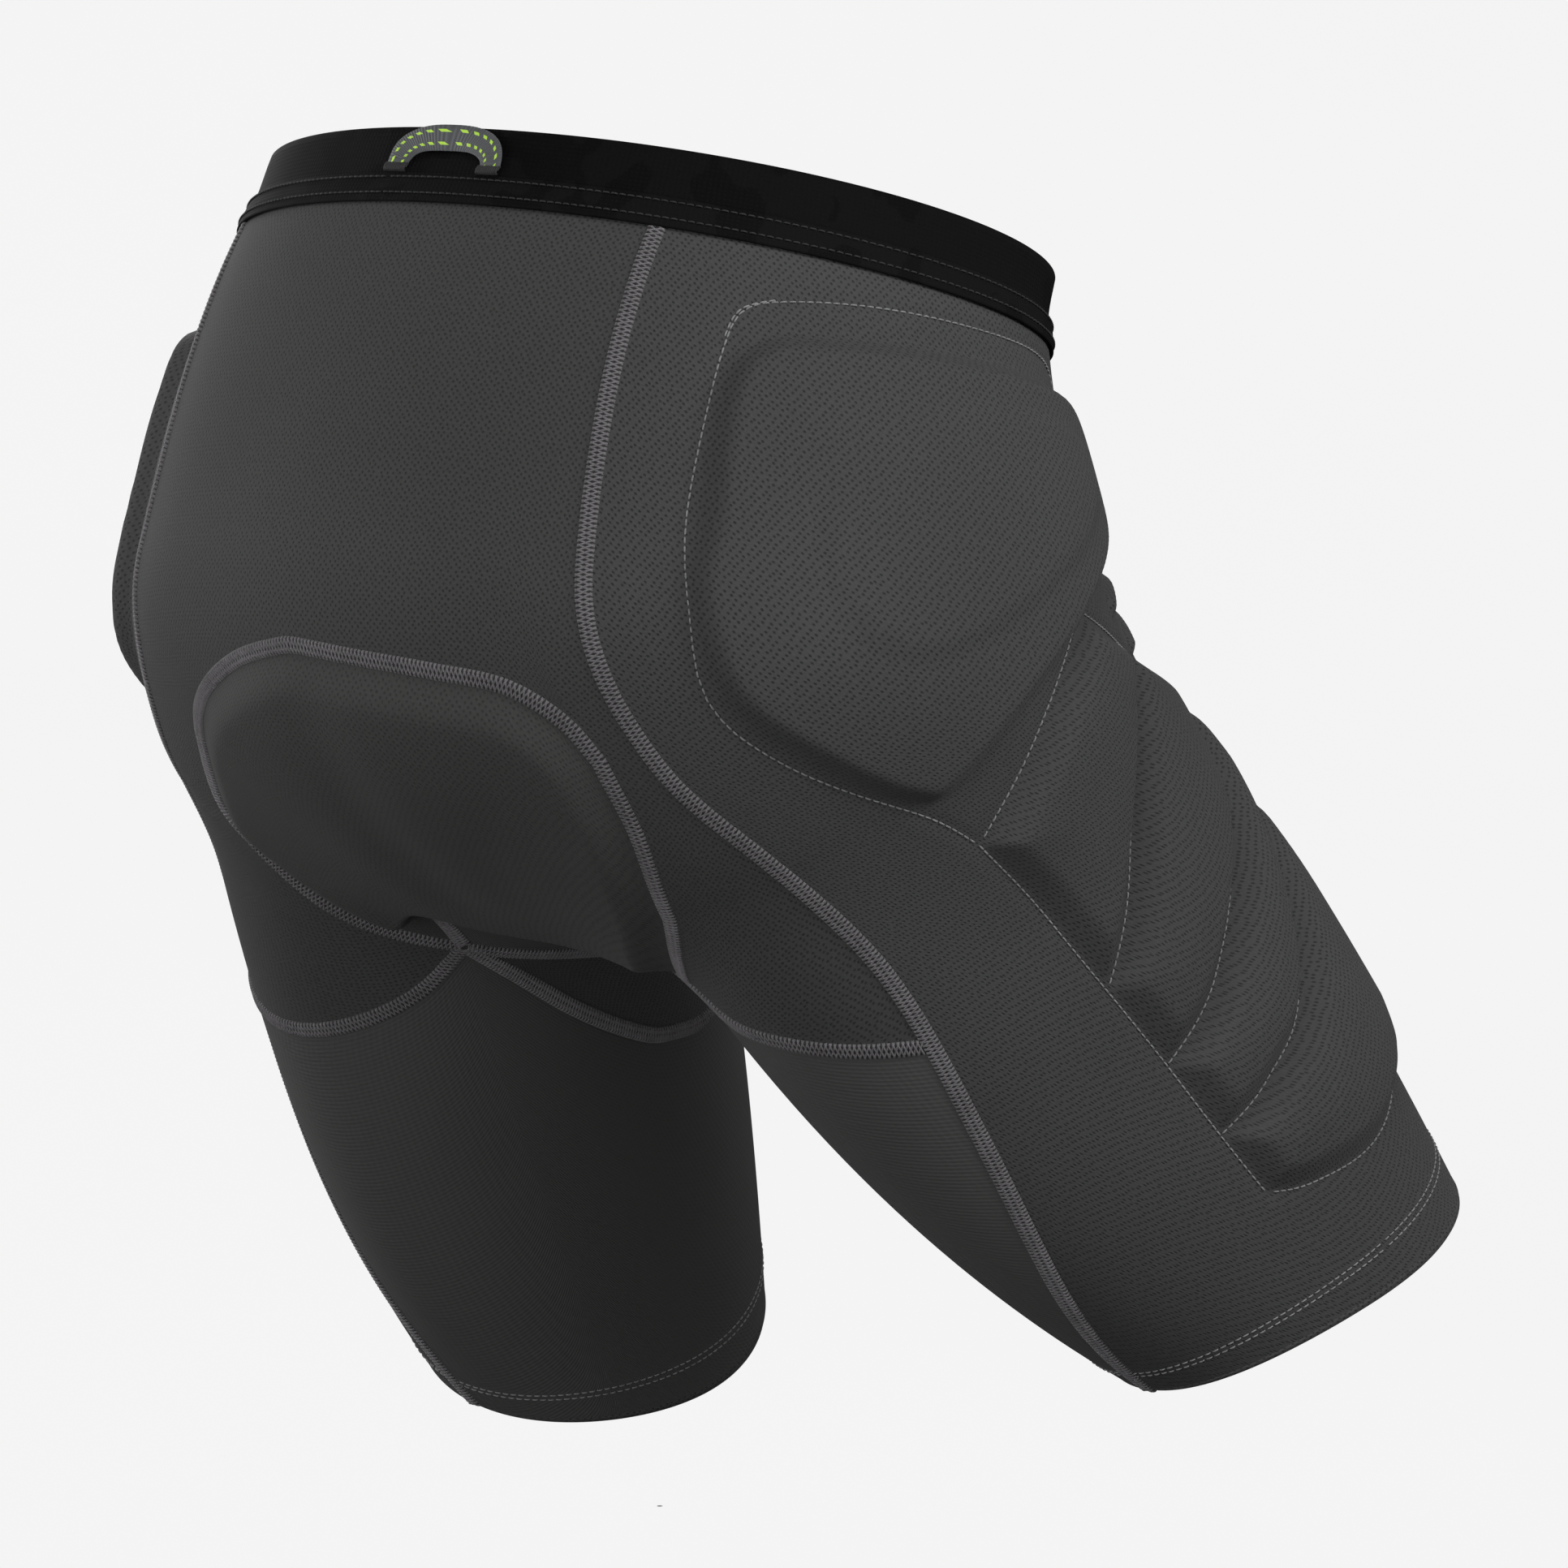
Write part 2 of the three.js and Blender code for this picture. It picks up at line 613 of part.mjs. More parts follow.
// A side seam from the panels' upper edge down, and the turn round the waist at which it starts.
function sideSeam(leg, outline) {
  const place = wrapCurve(outline);
  const seam = placed(leg, place);
  const start = shareWhere(seam, (p) => -p.dot(trunkUp), PANEL_TOP);
  const turn = THREE.MathUtils.radToDeg(Math.asin(seam(start).x / trunkSection(PANEL_TOP).wide));
  return { place, seam, start, turn, shareAt: (percent) => shareWhere(place, (at) => at.y, percent) };
}

// Half of the back: one grid down to the seat and across to the seam, and one beside the seat.
function backHalf(leg) {
  const { place, seam, start, turn, shareAt } = sideSeam(leg, BACK_SEAM);
  const { seatEdge: edge, rearCross: cross } = crotchSeams(leg);
  const middle = shareAt(edge(0).y);
  const end = shareAt(cross(1).y);
  const turnPlace = (s) => edge(0).lerp(place(middle), s);
  const base = chain([halfTowards(leg, seatTop), placed(leg, turnPlace)], [6 / 8]);
  const centre = centreLine(centreDegrees(onTrunk(0, PANEL_TOP)), SEAT_TOP);
  const upper = coons(centre, part(seam, start, middle), bandArc(0, turn), base, 8, 8);
  const lower = coons(edge, part(place, middle, end), turnPlace, cross, 12, 2);
  return [settled(upper), wrapped(leg, lower)];
}

// Half of the front: one grid down to the gusset and across to the seam, and one below the gusset.
function frontHalf(leg) {
  const { place, seam, start, turn, shareAt } = sideSeam(leg, FRONT_FROM_INSIDE);
  const { gussetEdge: edge, frontCross: cross } = crotchSeams(leg);
  const end = shareAt(cross(1).y);
  const turnPlace = (s) => edge(1).lerp(place(end), s);
  const base = chain([halfTowards(leg, gussetFront), placed(leg, turnPlace)], [4 / 9]);
  const top = bandArc(180 * leg.side, 180 * leg.side - turn);
  const centre = centreLine(centreDegrees(onTrunk(180, PANEL_TOP)), GUSSET_FRONT);
  const upper = coons(centre, part(seam, start, end), top, base, 9, 9);
  const lower = coons(() => edge(0), () => place(end), chain([edge, turnPlace], [7 / 12]), cross, 3, 12);
  return [settled(upper), wrapped(leg, lower)];
}

// ---- Inner leg panel: from the back seam round the inside of the thigh to the front seam ----

const TURN = 360;
const FRONT_FROM_INSIDE = FRONT_SEAM.map(([d, p]) => [d - TURN, p]);

function innerLegGrid(leg) {
  const { rearCross, frontCross } = crotchSeams(leg);
  const top = chain([reversed(rearCross), frontCross], [6 / 22]);
  const below = (curve, percent) => part(curve, shareWhere(curve, (at) => at.y, percent), 1);
  const left = below(wrapCurve(BACK_SEAM), top(0).y);
  const right = below(wrapCurve(FRONT_FROM_INSIDE), top(1).y);
  const base = (s) => left(1).lerp(right(1), s);
  return wrapped(leg, coons(left, right, top, base, 7, 22));
}

add("back_panel", sheet([...backHalf(legs.right), ...backHalf(legs.left)], -FABRIC, 0, BESIDE_SEAM), KNIT);
add("front_panel", sheet([...frontHalf(legs.right), ...frontHalf(legs.left)], -FABRIC, 0, BESIDE_SEAM), KNIT);
add("seat_panel", sheet([seatGrid(12, 12)], -FABRIC, 0, BESIDE_SEAM), SMOOTH_KNIT);
add("crotch_gusset", sheet([gussetGrid], -FABRIC, 0, BESIDE_SEAM), SMOOTH_KNIT);
const seatFoamTop = -FABRIC - SEAT.gap;
const seatFoamUnder = seatFoamTop - SEAT.foam;
add("seat_foam", sheet([seatGrid(8, 8)], seatFoamUnder, seatFoamTop, SEAT.border), FOAM);
const seatLiningTop = seatFoamUnder - 2 * GAP;
add("seat_lining", sheet([seatGrid(8, 8)], seatLiningTop - LINING, seatLiningTop, SEAT.border), MESH_LINING);

for (const [side, leg] of Object.entries(legs)) {
  const cover = sidePanelGrid(leg);
  add(`${side}_side_panel`, sheet([cover], -FABRIC, 0, BESIDE_SEAM), KNIT);
  add(`${side}_inner_leg_panel`, sheet([innerLegGrid(leg)], -FABRIC, 0, BESIDE_SEAM), SMOOTH_KNIT);

  const above = sheet([cover], -FABRIC - GAP, CUTTER_BLOCK);
  const foam = (grid, margin) => cut(sheet([grid], FOAM_UNDER, FOAM_BLOCK, margin), above);
  add(`${side}_hip_pad`, foam(hipGrid(leg), HIP_MARGIN), FOAM);
  const hipLining = sheet([hipGrid(leg)], LINING_TOP - LINING, LINING_TOP, HIP_MARGIN);
  add(`${side}_hip_lining`, hipLining, MESH_LINING);
  for (let k = 1; k < GROOVES.length; k += 1) {
    add(`${side}_thigh_pad_${k}`, foam(thighGrid(leg, GROOVES[k - 1], GROOVES[k]), GROOVE / 2), FOAM);
  }
  const lining = wrapPatch(leg, THIGH_REAR, THIGH_FORE, GROOVES.at(0).slice().reverse(),
    GROOVES.at(-1).slice().reverse(), 10, 8);
  const thighLining = sheet([lining], LINING_TOP - LINING, LINING_TOP, GROOVE / 2);
  add(`${side}_thigh_lining`, thighLining, MESH_LINING);

  const hemRing = (height) => [aboveHem(leg, height), 100].map((percent) =>
    Array.from({ length: HEM.steps + 1 }, (_, k) =>
      onLeg(leg, (TURN * (k % HEM.steps)) / HEM.steps, percent)));
  const hemOuter = -FABRIC - 3 * GAP;
  const gripperOuter = hemOuter - HEM.thick - GAP;
  add(`${side}_hem`, sheet([hemRing(HEM.height)], hemOuter - HEM.thick, hemOuter), KNIT);
  add(`${side}_gripper`, sheet([hemRing(GRIPPER.height)], gripperOuter - GRIPPER.thick, gripperOuter), SILICONE);
}

// ---- Seams ----

const SEAM_STEPS = { seatBase: 16, seatEdge: 36, gusset: 40, side: 30, rearCross: 12, frontCross: 24 };
const GUSSET_TRIM = 14;
const FRONT_CROSS_TRIM = 18;
const seamTrim = BESIDE_SEAM + GAP;
add("seat_base_seam", seamSolid(seatBase, SEAM_STEPS.seatBase, 1.5 * seamTrim, 1.5 * seamTrim), THREAD);
const seatOutline = chain(
  [reversed(placedSeam(legs.left, "seatEdge")), seatTop, placedSeam(legs.right, "seatEdge")],
  [1 / 3, 2 / 3]);
add("seat_edge_seam", seamSolid(seatOutline, SEAM_STEPS.seatEdge), THREAD);
const gussetOutline = chain(
  [placedSeam(legs.left, "gussetEdge"), gussetFront, reversed(placedSeam(legs.right, "gussetEdge"))],
  [12 / 32, 20 / 32]);
add("gusset_seam", seamSolid(gussetOutline, SEAM_STEPS.gusset, GUSSET_TRIM, GUSSET_TRIM), THREAD);

for (const [side, leg] of Object.entries(legs)) {
  for (const [name, outline] of [["back", BACK_SEAM], ["front", FRONT_SEAM]]) {
    const seam = legCurve(leg, outline);
    const start = shareWhere(seam, (p) => -p.dot(trunkUp), BAND.height + GAP);
    const end = shareWhere(wrapCurve(outline), (at) => at.y, 100);
    add(`${side}_${name}_seam`, seamSolid(part(seam, start, end), SEAM_STEPS.side), THREAD);
  }
  const rearCross = seamSolid(placedSeam(leg, "rearCross"), SEAM_STEPS.rearCross, seamTrim, seamTrim);
  add(`${side}_rear_cross_seam`, rearCross, THREAD);
  const frontCross = placedSeam(leg, "frontCross");
  const frontCrossSeam = seamSolid(frontCross, SEAM_STEPS.frontCross, FRONT_CROSS_TRIM, seamTrim);
  add(`${side}_front_cross_seam`, frontCrossSeam, THREAD);
}

export default group;
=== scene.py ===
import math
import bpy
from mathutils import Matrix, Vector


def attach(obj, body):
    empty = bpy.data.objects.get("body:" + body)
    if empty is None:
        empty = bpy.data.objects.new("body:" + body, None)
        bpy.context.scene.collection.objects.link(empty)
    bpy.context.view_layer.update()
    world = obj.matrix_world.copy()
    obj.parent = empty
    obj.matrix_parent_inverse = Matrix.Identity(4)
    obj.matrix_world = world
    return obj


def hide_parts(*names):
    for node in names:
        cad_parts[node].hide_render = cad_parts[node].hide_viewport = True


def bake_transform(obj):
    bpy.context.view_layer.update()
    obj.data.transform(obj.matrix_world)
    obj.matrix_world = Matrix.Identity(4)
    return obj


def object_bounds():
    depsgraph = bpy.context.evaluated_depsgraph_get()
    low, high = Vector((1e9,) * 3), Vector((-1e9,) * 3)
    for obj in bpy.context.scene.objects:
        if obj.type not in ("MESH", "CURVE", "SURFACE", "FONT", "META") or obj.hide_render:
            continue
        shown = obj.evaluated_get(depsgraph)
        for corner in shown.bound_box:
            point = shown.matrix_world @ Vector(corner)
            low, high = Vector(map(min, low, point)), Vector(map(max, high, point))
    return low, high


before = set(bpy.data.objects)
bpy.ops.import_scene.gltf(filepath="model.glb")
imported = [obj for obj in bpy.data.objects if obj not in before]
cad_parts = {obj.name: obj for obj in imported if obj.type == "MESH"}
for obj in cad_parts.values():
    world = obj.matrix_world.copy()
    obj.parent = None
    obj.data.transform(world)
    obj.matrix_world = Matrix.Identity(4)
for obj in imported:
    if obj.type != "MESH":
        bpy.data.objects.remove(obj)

# Padded impact shorts, worn in a low riding stance. Shapes are worked out in millimetres, in the
# CAD's frame: +X is the wearer's right, +Y is forward, +Z is up, and the origin is the centre of
# the waist opening. Meshes are turned into metres as they are made.
from types import SimpleNamespace

import bpy
import numpy as np
from mathutils import Matrix

cad_box = [list(corner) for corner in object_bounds()]

# ---- Driving dimensions, the same as the CAD's ----

METRES = 0.001
WAIST = dict(half_width=152, half_depth=111, lean=16)
HIPS = dict(half_width=186, back_depth=148, front_depth=115, below=145, forward=18, closing=100)
HIP_JOINT = np.array([99.0, -22.0, -166.0])
STANCE = {
    "right": dict(side=1, flex=45, spread=7.5, length=280, hem_front=10, hem_out=3),
    "left": dict(side=-1, flex=32, spread=14, length=292, hem_front=5.5, hem_out=-8),
}
# Half widths and half depths of a leg's section at the hip joint, mid thigh and hem.
THIGH = dict(wide=(78, 66, 57), back=(85, 96, 69), front=(100, 96, 69))
ROUNDING = dict(trunk_to_legs=37, leg_to_leg=40)
FRONT_BACK_JOIN = 30
BAND = dict(height=27, thick=1.8, binding=10, binding_thick=0.8)
PANEL_TOP = 25.0
FABRIC = 0.9
LINING = 0.8
HEM_HEIGHT = 16
GRIPPER_HEIGHT = 12
LOOP = dict(span=50, rise=14.5, ribbon=9, top_share=0.95, thick=1, across=22, gap=0.6)

# ---- Outlines on a leg's wrapped surface ----
# Each point is (degrees round the leg, percent of the way from waist to hem): 0 degrees is the
# outer side, 90 the front, -90 the back and 180 the inside of the leg.

BACK_SEAM = [(-88, 7), (-87, 31), (-83, 41), (-74, 48), (-67, 57), (-68, 68), (-75, 81), (-92, 101)]
FRONT_SEAM = [(80, 7), (84, 40), (92, 74), (100, 101)]
FRONT_FROM_INSIDE = [(degrees - 360, percent) for degrees, percent in FRONT_SEAM]
CROTCH_SEAMS = {
    "right": dict(
        star=(-110, 55.2),
        shoulder=[(-113, 35.4), (-104, 36.2), (-96, 37.2), (-91.5, 39), (-89.5, 41)],
        seat_edge=[(-89.5, 41), (-90, 45.2), (-95, 49.6), (-102, 52.6)],
        seat_base=(-119, 52.6),
        gusset_edge=[(-128, 59), (-146, 62.5), (-164, 65.5), (-182, 66)],
        rear_cross=[(-100, 57.3), (-87, 58.8), (-67, 61.9)],
        front_cross=[(-127, 62.5), (-147, 68), (-166, 71.5), (-184, 73.5), (-214, 75), (-267, 71)],
    ),
    "left": dict(
        star=(-129, 55.6),
        shoulder=[(-119, 35.6), (-114, 36.5), (-108, 38.2), (-103, 40.1), (-100, 41.7)],
        seat_edge=[(-100, 41.7), (-95, 47.1), (-102, 50.6), (-112, 53.3)],
        seat_base=(-127, 50.2),
        gusset_edge=[(-141, 57.5), (-158, 60.2), (-176, 63), (-192, 64.5)],
        rear_cross=[(-119, 58.7), (-104, 61), (-87, 62.4), (-67, 62.6)],
        front_cross=[(-147, 63.3), (-166, 68.7), (-184, 71.8), (-214, 74), (-267, 71)],
    ),
}
# The raised hip shield, and the stitching round it, which runs on into the thigh's first groove.
HIP_PLATEAU = [
    (-61, 16.6), (-40, 15.6), (-10, 14.9), (14, 15.2), (27, 18.5), (31, 25), (24, 31), (-2, 36.7),
    (-26, 42), (-45, 46.3), (-52, 46), (-62, 42.6), (-71, 38.6), (-74, 33), (-73, 29.3), (-72, 20.5),
    (-68, 17.6),
]
HIP_INNER = [(-40, 21), (-5, 19.5), (12, 22), (10, 27), (-12, 33), (-42, 38), (-56, 35), (-57, 27)]
HIP_STITCH = [
    (-3, 37.5), (14, 35.6), (32, 32), (41, 26), (40, 17), (31, 12), (10, 10.8), (-25, 11.2), (-50, 12),
    (-67, 13.4), (-72.5, 14.8), (-74, 17.5), (-75, 23.2), (-76, 29.7), (-75, 34.4), (-74, 39),
    (-67, 42.6), (-51, 47.9), (-45, 50.8), (-44, 51.4),
]
THIGH_REAR = [(-44, 51.4), (-36, 59.8), (-27, 73.7), (-23, 88.4)]
THIGH_FORE = [(-3, 37.5), (27, 43.5), (60, 52), (78, 66), (80, 91)]
GROOVES = [
    [(-3, 37.5), (-19, 43.2), (-32, 47.9), (-44, 51.4)],
    [(27, 43.5), (8, 54.8), (-12, 62.5), (-31, 67)],
    [(64, 54), (50, 67), (4, 73.4), (-26, 75)],
    [(78, 68), (37, 79.9), (0, 82.2), (-24, 82.4)],
    [(80, 91), (26, 91.9), (-8, 90.3), (-23, 88.4)],
]
# Folds of the cover where the hip bends, between the hip shield and the thigh shield.
CREASES = [[(22, 33), (45, 30), (72, 31)], [(30, 39), (50, 37), (76, 39)], [(50, 46), (66, 43), (80, 44)]]
# Places on the body's centre line, in degrees from the back through the crotch to the front.
SEAT_TOP = 3.4
SEAT_BASE = 59
GUSSET_FRONT = 143


# ---- The wearer's shape, which the fabric follows ----

def unit(v):
    return v / np.maximum(np.linalg.norm(v, axis=-1, keepdims=True), 1e-9)


def mix(a, b, t):
    return a + (b - a) * t


def smooth(x):
    x = np.clip(x, 0, 1)
    return x * x * (3 - 2 * x)


def facet(x):
    """Rises evenly from 0 to 1, with a short bend at each end."""
    low = -smooth_min(-np.asarray(x, float), np.zeros(np.shape(x)), 0.25)
    return smooth_min(low, np.ones(np.shape(x)), 0.25)


def smooth_min(a, b, radius):
    h = np.maximum(radius - np.abs(a - b), 0) / radius
    return np.minimum(a, b) - h * h * radius / 4


def half_depth(y, back, front):
    """The half depth of a section, changing gradually from its back to its front across the middle."""
    return mix(back, front, smooth(y / (2 * FRONT_BACK_JOIN) + 0.5))


LEAN = math.radians(WAIST["lean"])
TRUNK_UP = np.array([0, math.sin(LEAN), math.cos(LEAN)])
TRUNK_FORWARD = np.array([0, math.cos(LEAN), -math.sin(LEAN)])
PELVIS = np.array([0.0, -10.0, -130.0])


def make_leg(name):
    stance = STANCE[name]
    side, length = stance["side"], stance["length"]
    flex, spread = math.radians(stance["flex"]), math.radians(stance["spread"])
    down = np.array([
        side * math.sin(spread),
        math.cos(spread) * math.sin(flex),
        -math.cos(spread) * math.cos(flex),
    ])
    joint = HIP_JOINT * (side, 1, 1)
    out = unit(np.array([side, 0, 0]) - side * down[0] * down)
    return SimpleNamespace(
        name=name, side=side, length=length, down=down, joint=joint, out=out,
        waist=joint - (joint @ TRUNK_UP) * TRUNK_UP, hem=joint + down * length,
        fore=np.cross(out, down) * side, hem_front=stance["hem_front"], hem_out=stance["hem_out"],
        body=f"{name}_leg", **CROTCH_SEAMS[name],
    )


legs = {name: make_leg(name) for name in STANCE}


def growth(depth, start, end, slope):
    """A size that grows from the waist to the hips, with a first slope of its own."""
    t = np.clip(depth / HIPS["below"], 0, 1)
    return mix(start, end, smooth(t)) + slope * HIPS["below"] * t * (1 - t) ** 2


def trunk_section(depth):
    return (
        growth(depth, WAIST["half_width"], HIPS["half_width"], 0.35),
        growth(depth, WAIST["half_depth"], HIPS["back_depth"], 0.45),
        growth(depth, WAIST["half_depth"], HIPS["front_depth"], 0),
        growth(depth, 0, HIPS["forward"], 0),
    )


def trunk_field(p):
    depth = -(p @ TRUNK_UP)
    wide, back, front, centre = trunk_section(depth)
    y = p @ TRUNK_FORWARD - centre
    deep = half_depth(y, back, front)
    below = np.maximum(depth - HIPS["below"], 0) / HIPS["closing"]
    away = np.sqrt((p[..., 0] / wide) ** 2 + (y / deep) ** 2 + below**2)
    return (away - 1) * np.minimum(wide, deep)


def along_thigh(sizes, t):
    top, middle, hem = sizes
    return top * (1 - t) * (1 - 2 * t) + 4 * middle * t * (1 - t) + hem * t * (2 * t - 1)


def leg_field(p, leg):
    v = p - leg.joint
    down, x, y = v @ leg.down, v @ leg.out, v @ leg.fore
    t = np.clip(down / leg.length, 0, 1.15)
    wide = along_thigh(THIGH["wide"], t)
    deep = half_depth(y, along_thigh(THIGH["back"], t), along_thigh(THIGH["front"], t))
    above = np.maximum(-down / THIGH["wide"][0], 0)
    return (np.sqrt((x / wide) ** 2 + (y / deep) ** 2 + above**2) - 1) * np.minimum(wide, deep)


def body_field(p):
    both = smooth_min(leg_field(p, legs["right"]), leg_field(p, legs["left"]), ROUNDING["leg_to_leg"])
    return smooth_min(trunk_field(p), both, ROUNDING["trunk_to_legs"])


def gradient(p):
    step = 0.5 * np.eye(3)
    return np.stack([body_field(p + s) - body_field(p - s) for s in step], -1)


def outwards(p):
    return unit(gradient(p))


SETTLE_STEPS = 14
SETTLE_MOST = 25
RAY_START = 5.0
RAY_FIRST = 14.0
RAY_STEP = 9
RAY_END = 240
RAY_HALVINGS = 15


def settle(p):
    """The nearest points of the surface, found in short steps along the slope."""
    for _ in range(SETTLE_STEPS):
        g = gradient(p)
        step = np.clip(body_field(p) / np.maximum((g * g).sum(-1), 1e-9), -SETTLE_MOST, SETTLE_MOST)
        p = p - g * step[..., None]
    return p


def exit_point(origin, direction):
    """Where rays from inside the body first leave it."""
    inside = np.full(direction.shape[:-1], RAY_START)
    outside = np.full_like(inside, RAY_FIRST)
    going = np.ones(inside.shape, bool)
    while going.any():
        going = (outside < RAY_END) & (body_field(origin + direction * outside[..., None]) <= 0)
        inside = np.where(going, outside, inside)
        outside = np.where(going, outside + RAY_STEP, outside)
    for _ in range(RAY_HALVINGS):
        middle = (inside + outside) / 2
        within = body_field(origin + direction * middle[..., None]) <= 0
        inside = np.where(within, middle, inside)
        outside = np.where(within, outside, middle)
    return origin + direction * outside[..., None]


# ---- Places on the surface ----

def on_leg(leg, places):
    """Points at places, which are degrees round a leg and percent of the way down it."""
    places = np.asarray(places, float)
    turn, down = np.radians(places[..., 0]), places[..., 1] / 100
    tilt = (leg.hem_front * np.sin(turn) + leg.hem_out * np.cos(turn)) / leg.length
    t = (down + down**4 * tilt)[..., None]
    centre = leg.waist * (1 - t) ** 2 + leg.joint * 2 * t * (1 - t) + leg.hem * t * t
    normal = unit(mix(-TRUNK_UP, leg.down, smooth((t - 0.06) / 0.74)))
    out = np.zeros(centre.shape)
    out[..., 0] = leg.side
    out = unit(out - (normal * out).sum(-1, keepdims=True) * normal)
    fore = np.cross(out, normal) * leg.side
    turn = turn[..., None]
    return exit_point(centre, out * np.cos(turn) + fore * np.sin(turn))


def on_trunk(degrees, depth):
    """Points of the trunk at angles from centre back towards the right, at depths below the waist."""
    turn, depth = np.broadcast_arrays(np.radians(degrees), np.asarray(depth, float))
    wide, back, front, centre = trunk_section(depth)
    deep = half_depth(-back * np.cos(turn), back, front)
    across = (wide * np.sin(turn))[..., None] * np.array([1, 0, 0])
    forward = (centre - deep * np.cos(turn))[..., None] * TRUNK_FORWARD
    return across + forward - depth[..., None] * TRUNK_UP


def on_centre(degrees):
    turn = np.radians(np.asarray(degrees, float))
    return exit_point(PELVIS, np.stack([np.zeros_like(turn), -np.cos(turn), -np.sin(turn)], -1))


def centre_degrees(point):
    degrees = math.degrees(math.atan2(PELVIS[2] - point[2], PELVIS[1] - point[1]))
    return degrees % 360 if point[1] > 0 else degrees


def above_hem(leg, height):
    """The percentage of a leg's wrap at a height above the hem's edge."""
    return 100 - 50 * height / leg.length


def band_edge_percent(leg, degrees):
    """The percentage of a leg's wrap at which angles meet the upper edge of the panels."""
    turns = np.linspace(degrees.min(), degrees.max(), 80)
    low, high = np.zeros_like(turns), np.full_like(turns, 25.0)
    for _ in range(14):
        middle = (low + high) / 2
        above = -(on_leg(leg, np.stack([turns, middle], -1)) @ TRUNK_UP) < PANEL_TOP
        low, high = np.where(above, middle, low), np.where(above, high, middle)
    return np.interp(degrees, turns, high)


# ---- Curves: each is a function of shares from 0 to 1 ----

def lengths(points):
    """The length of a polyline up to each of its points."""
    return np.concatenate([[0], np.cumsum(np.linalg.norm(np.diff(points, axis=0), axis=-1))])


def between(s, at, rows):
    """What lies between rows of numbers that stand at the places at."""
    return np.stack([np.interp(s, at, rows[:, k]) for k in range(rows.shape[1])], -1)


def by_length(points):
    """Shares of a dense polyline's length, as a curve."""
    at = lengths(points)
    at = at / at[-1]
    return lambda s: between(np.clip(s, 0, 1), at, points)


def hermite(b, c, v0, v1, t):
    """A cubic from b to c, with the slopes v0 and v1 at its ends."""
    cubic = (2 * b - 2 * c + v0 + v1) * t**3 + (-3 * b + 3 * c - 2 * v0 - v1) * t**2
    return cubic + v0 * t + b


def spline(outline, closed=False, steps=24):
    """A dense smooth line through points."""
    p = np.asarray(outline, float)
    if closed:
        p = np.concatenate([p[-1:], p, p[:2]])
    else:
        p = np.concatenate([p[:1], p, p[-1:]])
    t = np.linspace(0, 1, steps, endpoint=False)[:, None]
    parts = [hermite(b, c, (c - a) / 2, (d - b) / 2, t) for a, b, c, d in zip(p, p[1:], p[2:], p[3:])]
    return np.concatenate([*parts, p[-2:-1]])


def wrap_curve(outline):
    return by_length(spline(outline, steps=60))


def placed(leg, curve):
    return lambda s: on_leg(leg, curve(s))


def through_points(points):
    """The smooth curve through a few points, drawn onto the surface: the points have equal shares."""
    p = np.asarray(points, float)
    p = np.concatenate([[2 * p[0] - p[1]], p, [2 * p[-1] - p[-2]]])

    def curve(s):
        along = np.clip(s, 0, 1) * (len(points) - 1)
        k = np.minimum(along.astype(int), len(points) - 2)
        t = (along - k)[..., None]
        a, b, c, d = p[k], p[k + 1], p[k + 2], p[k + 3]
        ab, bc, cd = (
            np.maximum(np.sqrt(np.linalg.norm(y - x, axis=-1, keepdims=True)), 1e-6)
            for x, y in ((a, b), (b, c), (c, d))
        )
        v0 = ((b - a) / ab - (c - a) / (ab + bc) + (c - b) / bc) * bc
        v1 = ((c - b) / bc - (d - b) / (bc + cd) + (d - c) / cd) * bc
        return settle(hermite(b, c, v0, v1, t))

    return curve


def part(curve, start, end):
    return lambda s: curve(mix(start, end, s))


def chain(curves, changes):
    """Curves run one after the other, changing at the shares given."""
    ends = [0, *changes, 1]

    def curve(s):
        s = np.asarray(s, float)
        first = curves[0](np.clip(s / ends[1], 0, 1))
        for k in range(1, len(curves)):
            share = np.clip((s - ends[k]) / (ends[k + 1] - ends[k]), 0, 1)
            first = np.where((s >= ends[k])[..., None], curves[k](share), first)
        return first

    return curve


def share_where(curve, measure, value):
    """The share of a curve at which a measure of its points first reaches a value."""
    low, high = 0.0, 1.0
    for _ in range(18):
        middle = (low + high) / 2
        if measure(curve(np.array([middle]))[0]) < value:
            low = middle
        else:
            high = middle
    return high


def coons(left, right, top, base, rows, columns):
    """A patch between four curves: rows run from top to base and columns from left to right."""
    v, u = np.linspace(0, 1, rows + 1), np.linspace(0, 1, columns + 1)
    start, end, upper, lower = left(v), right(v), top(u), base(u)
    v, u = v[:, None, None], u[None, :, None]
    ruled = mix(start[:, None], end[:, None], u) + mix(upper[None], lower[None], v)
    corners = mix(mix(upper[0], upper[-1], u), mix(lower[0], lower[-1], u), v)
    return ruled - corners


# ---- Distances that the relief is made from ----

def near(points, line):
    """The distance from each point to the nearest place of a polyline."""
    flat = points.reshape(-1, 3)
    best = np.full(len(flat), 1e9)
    for a, b in zip(line, line[1:]):
        edge = b - a
        share = np.clip((flat - a) @ edge / max(edge @ edge, 1e-9), 0, 1)
        best = np.minimum(best, ((flat - a - share[:, None] * edge) ** 2).sum(-1))
    return np.sqrt(best).reshape(points.shape[:-1])


def within(places, outline):
    """Which places lie inside a closed outline."""
    x, y = places[..., 0], places[..., 1]
    odd = np.zeros(x.shape, bool)
    for (x0, y0), (x1, y1) in zip(outline, np.roll(outline, -1, axis=0)):
        if y0 != y1:
            odd ^= ((y0 > y) != (y1 > y)) & (x < (x1 - x0) * (y - y0) / (y1 - y0) + x0)
    return odd


def depth_inside(places, points, outline, line):
    """How far points are inside a closed outline of wrap places; negative outside it."""
    distance = near(points, line)
    return np.where(within(places, outline), distance, -distance)


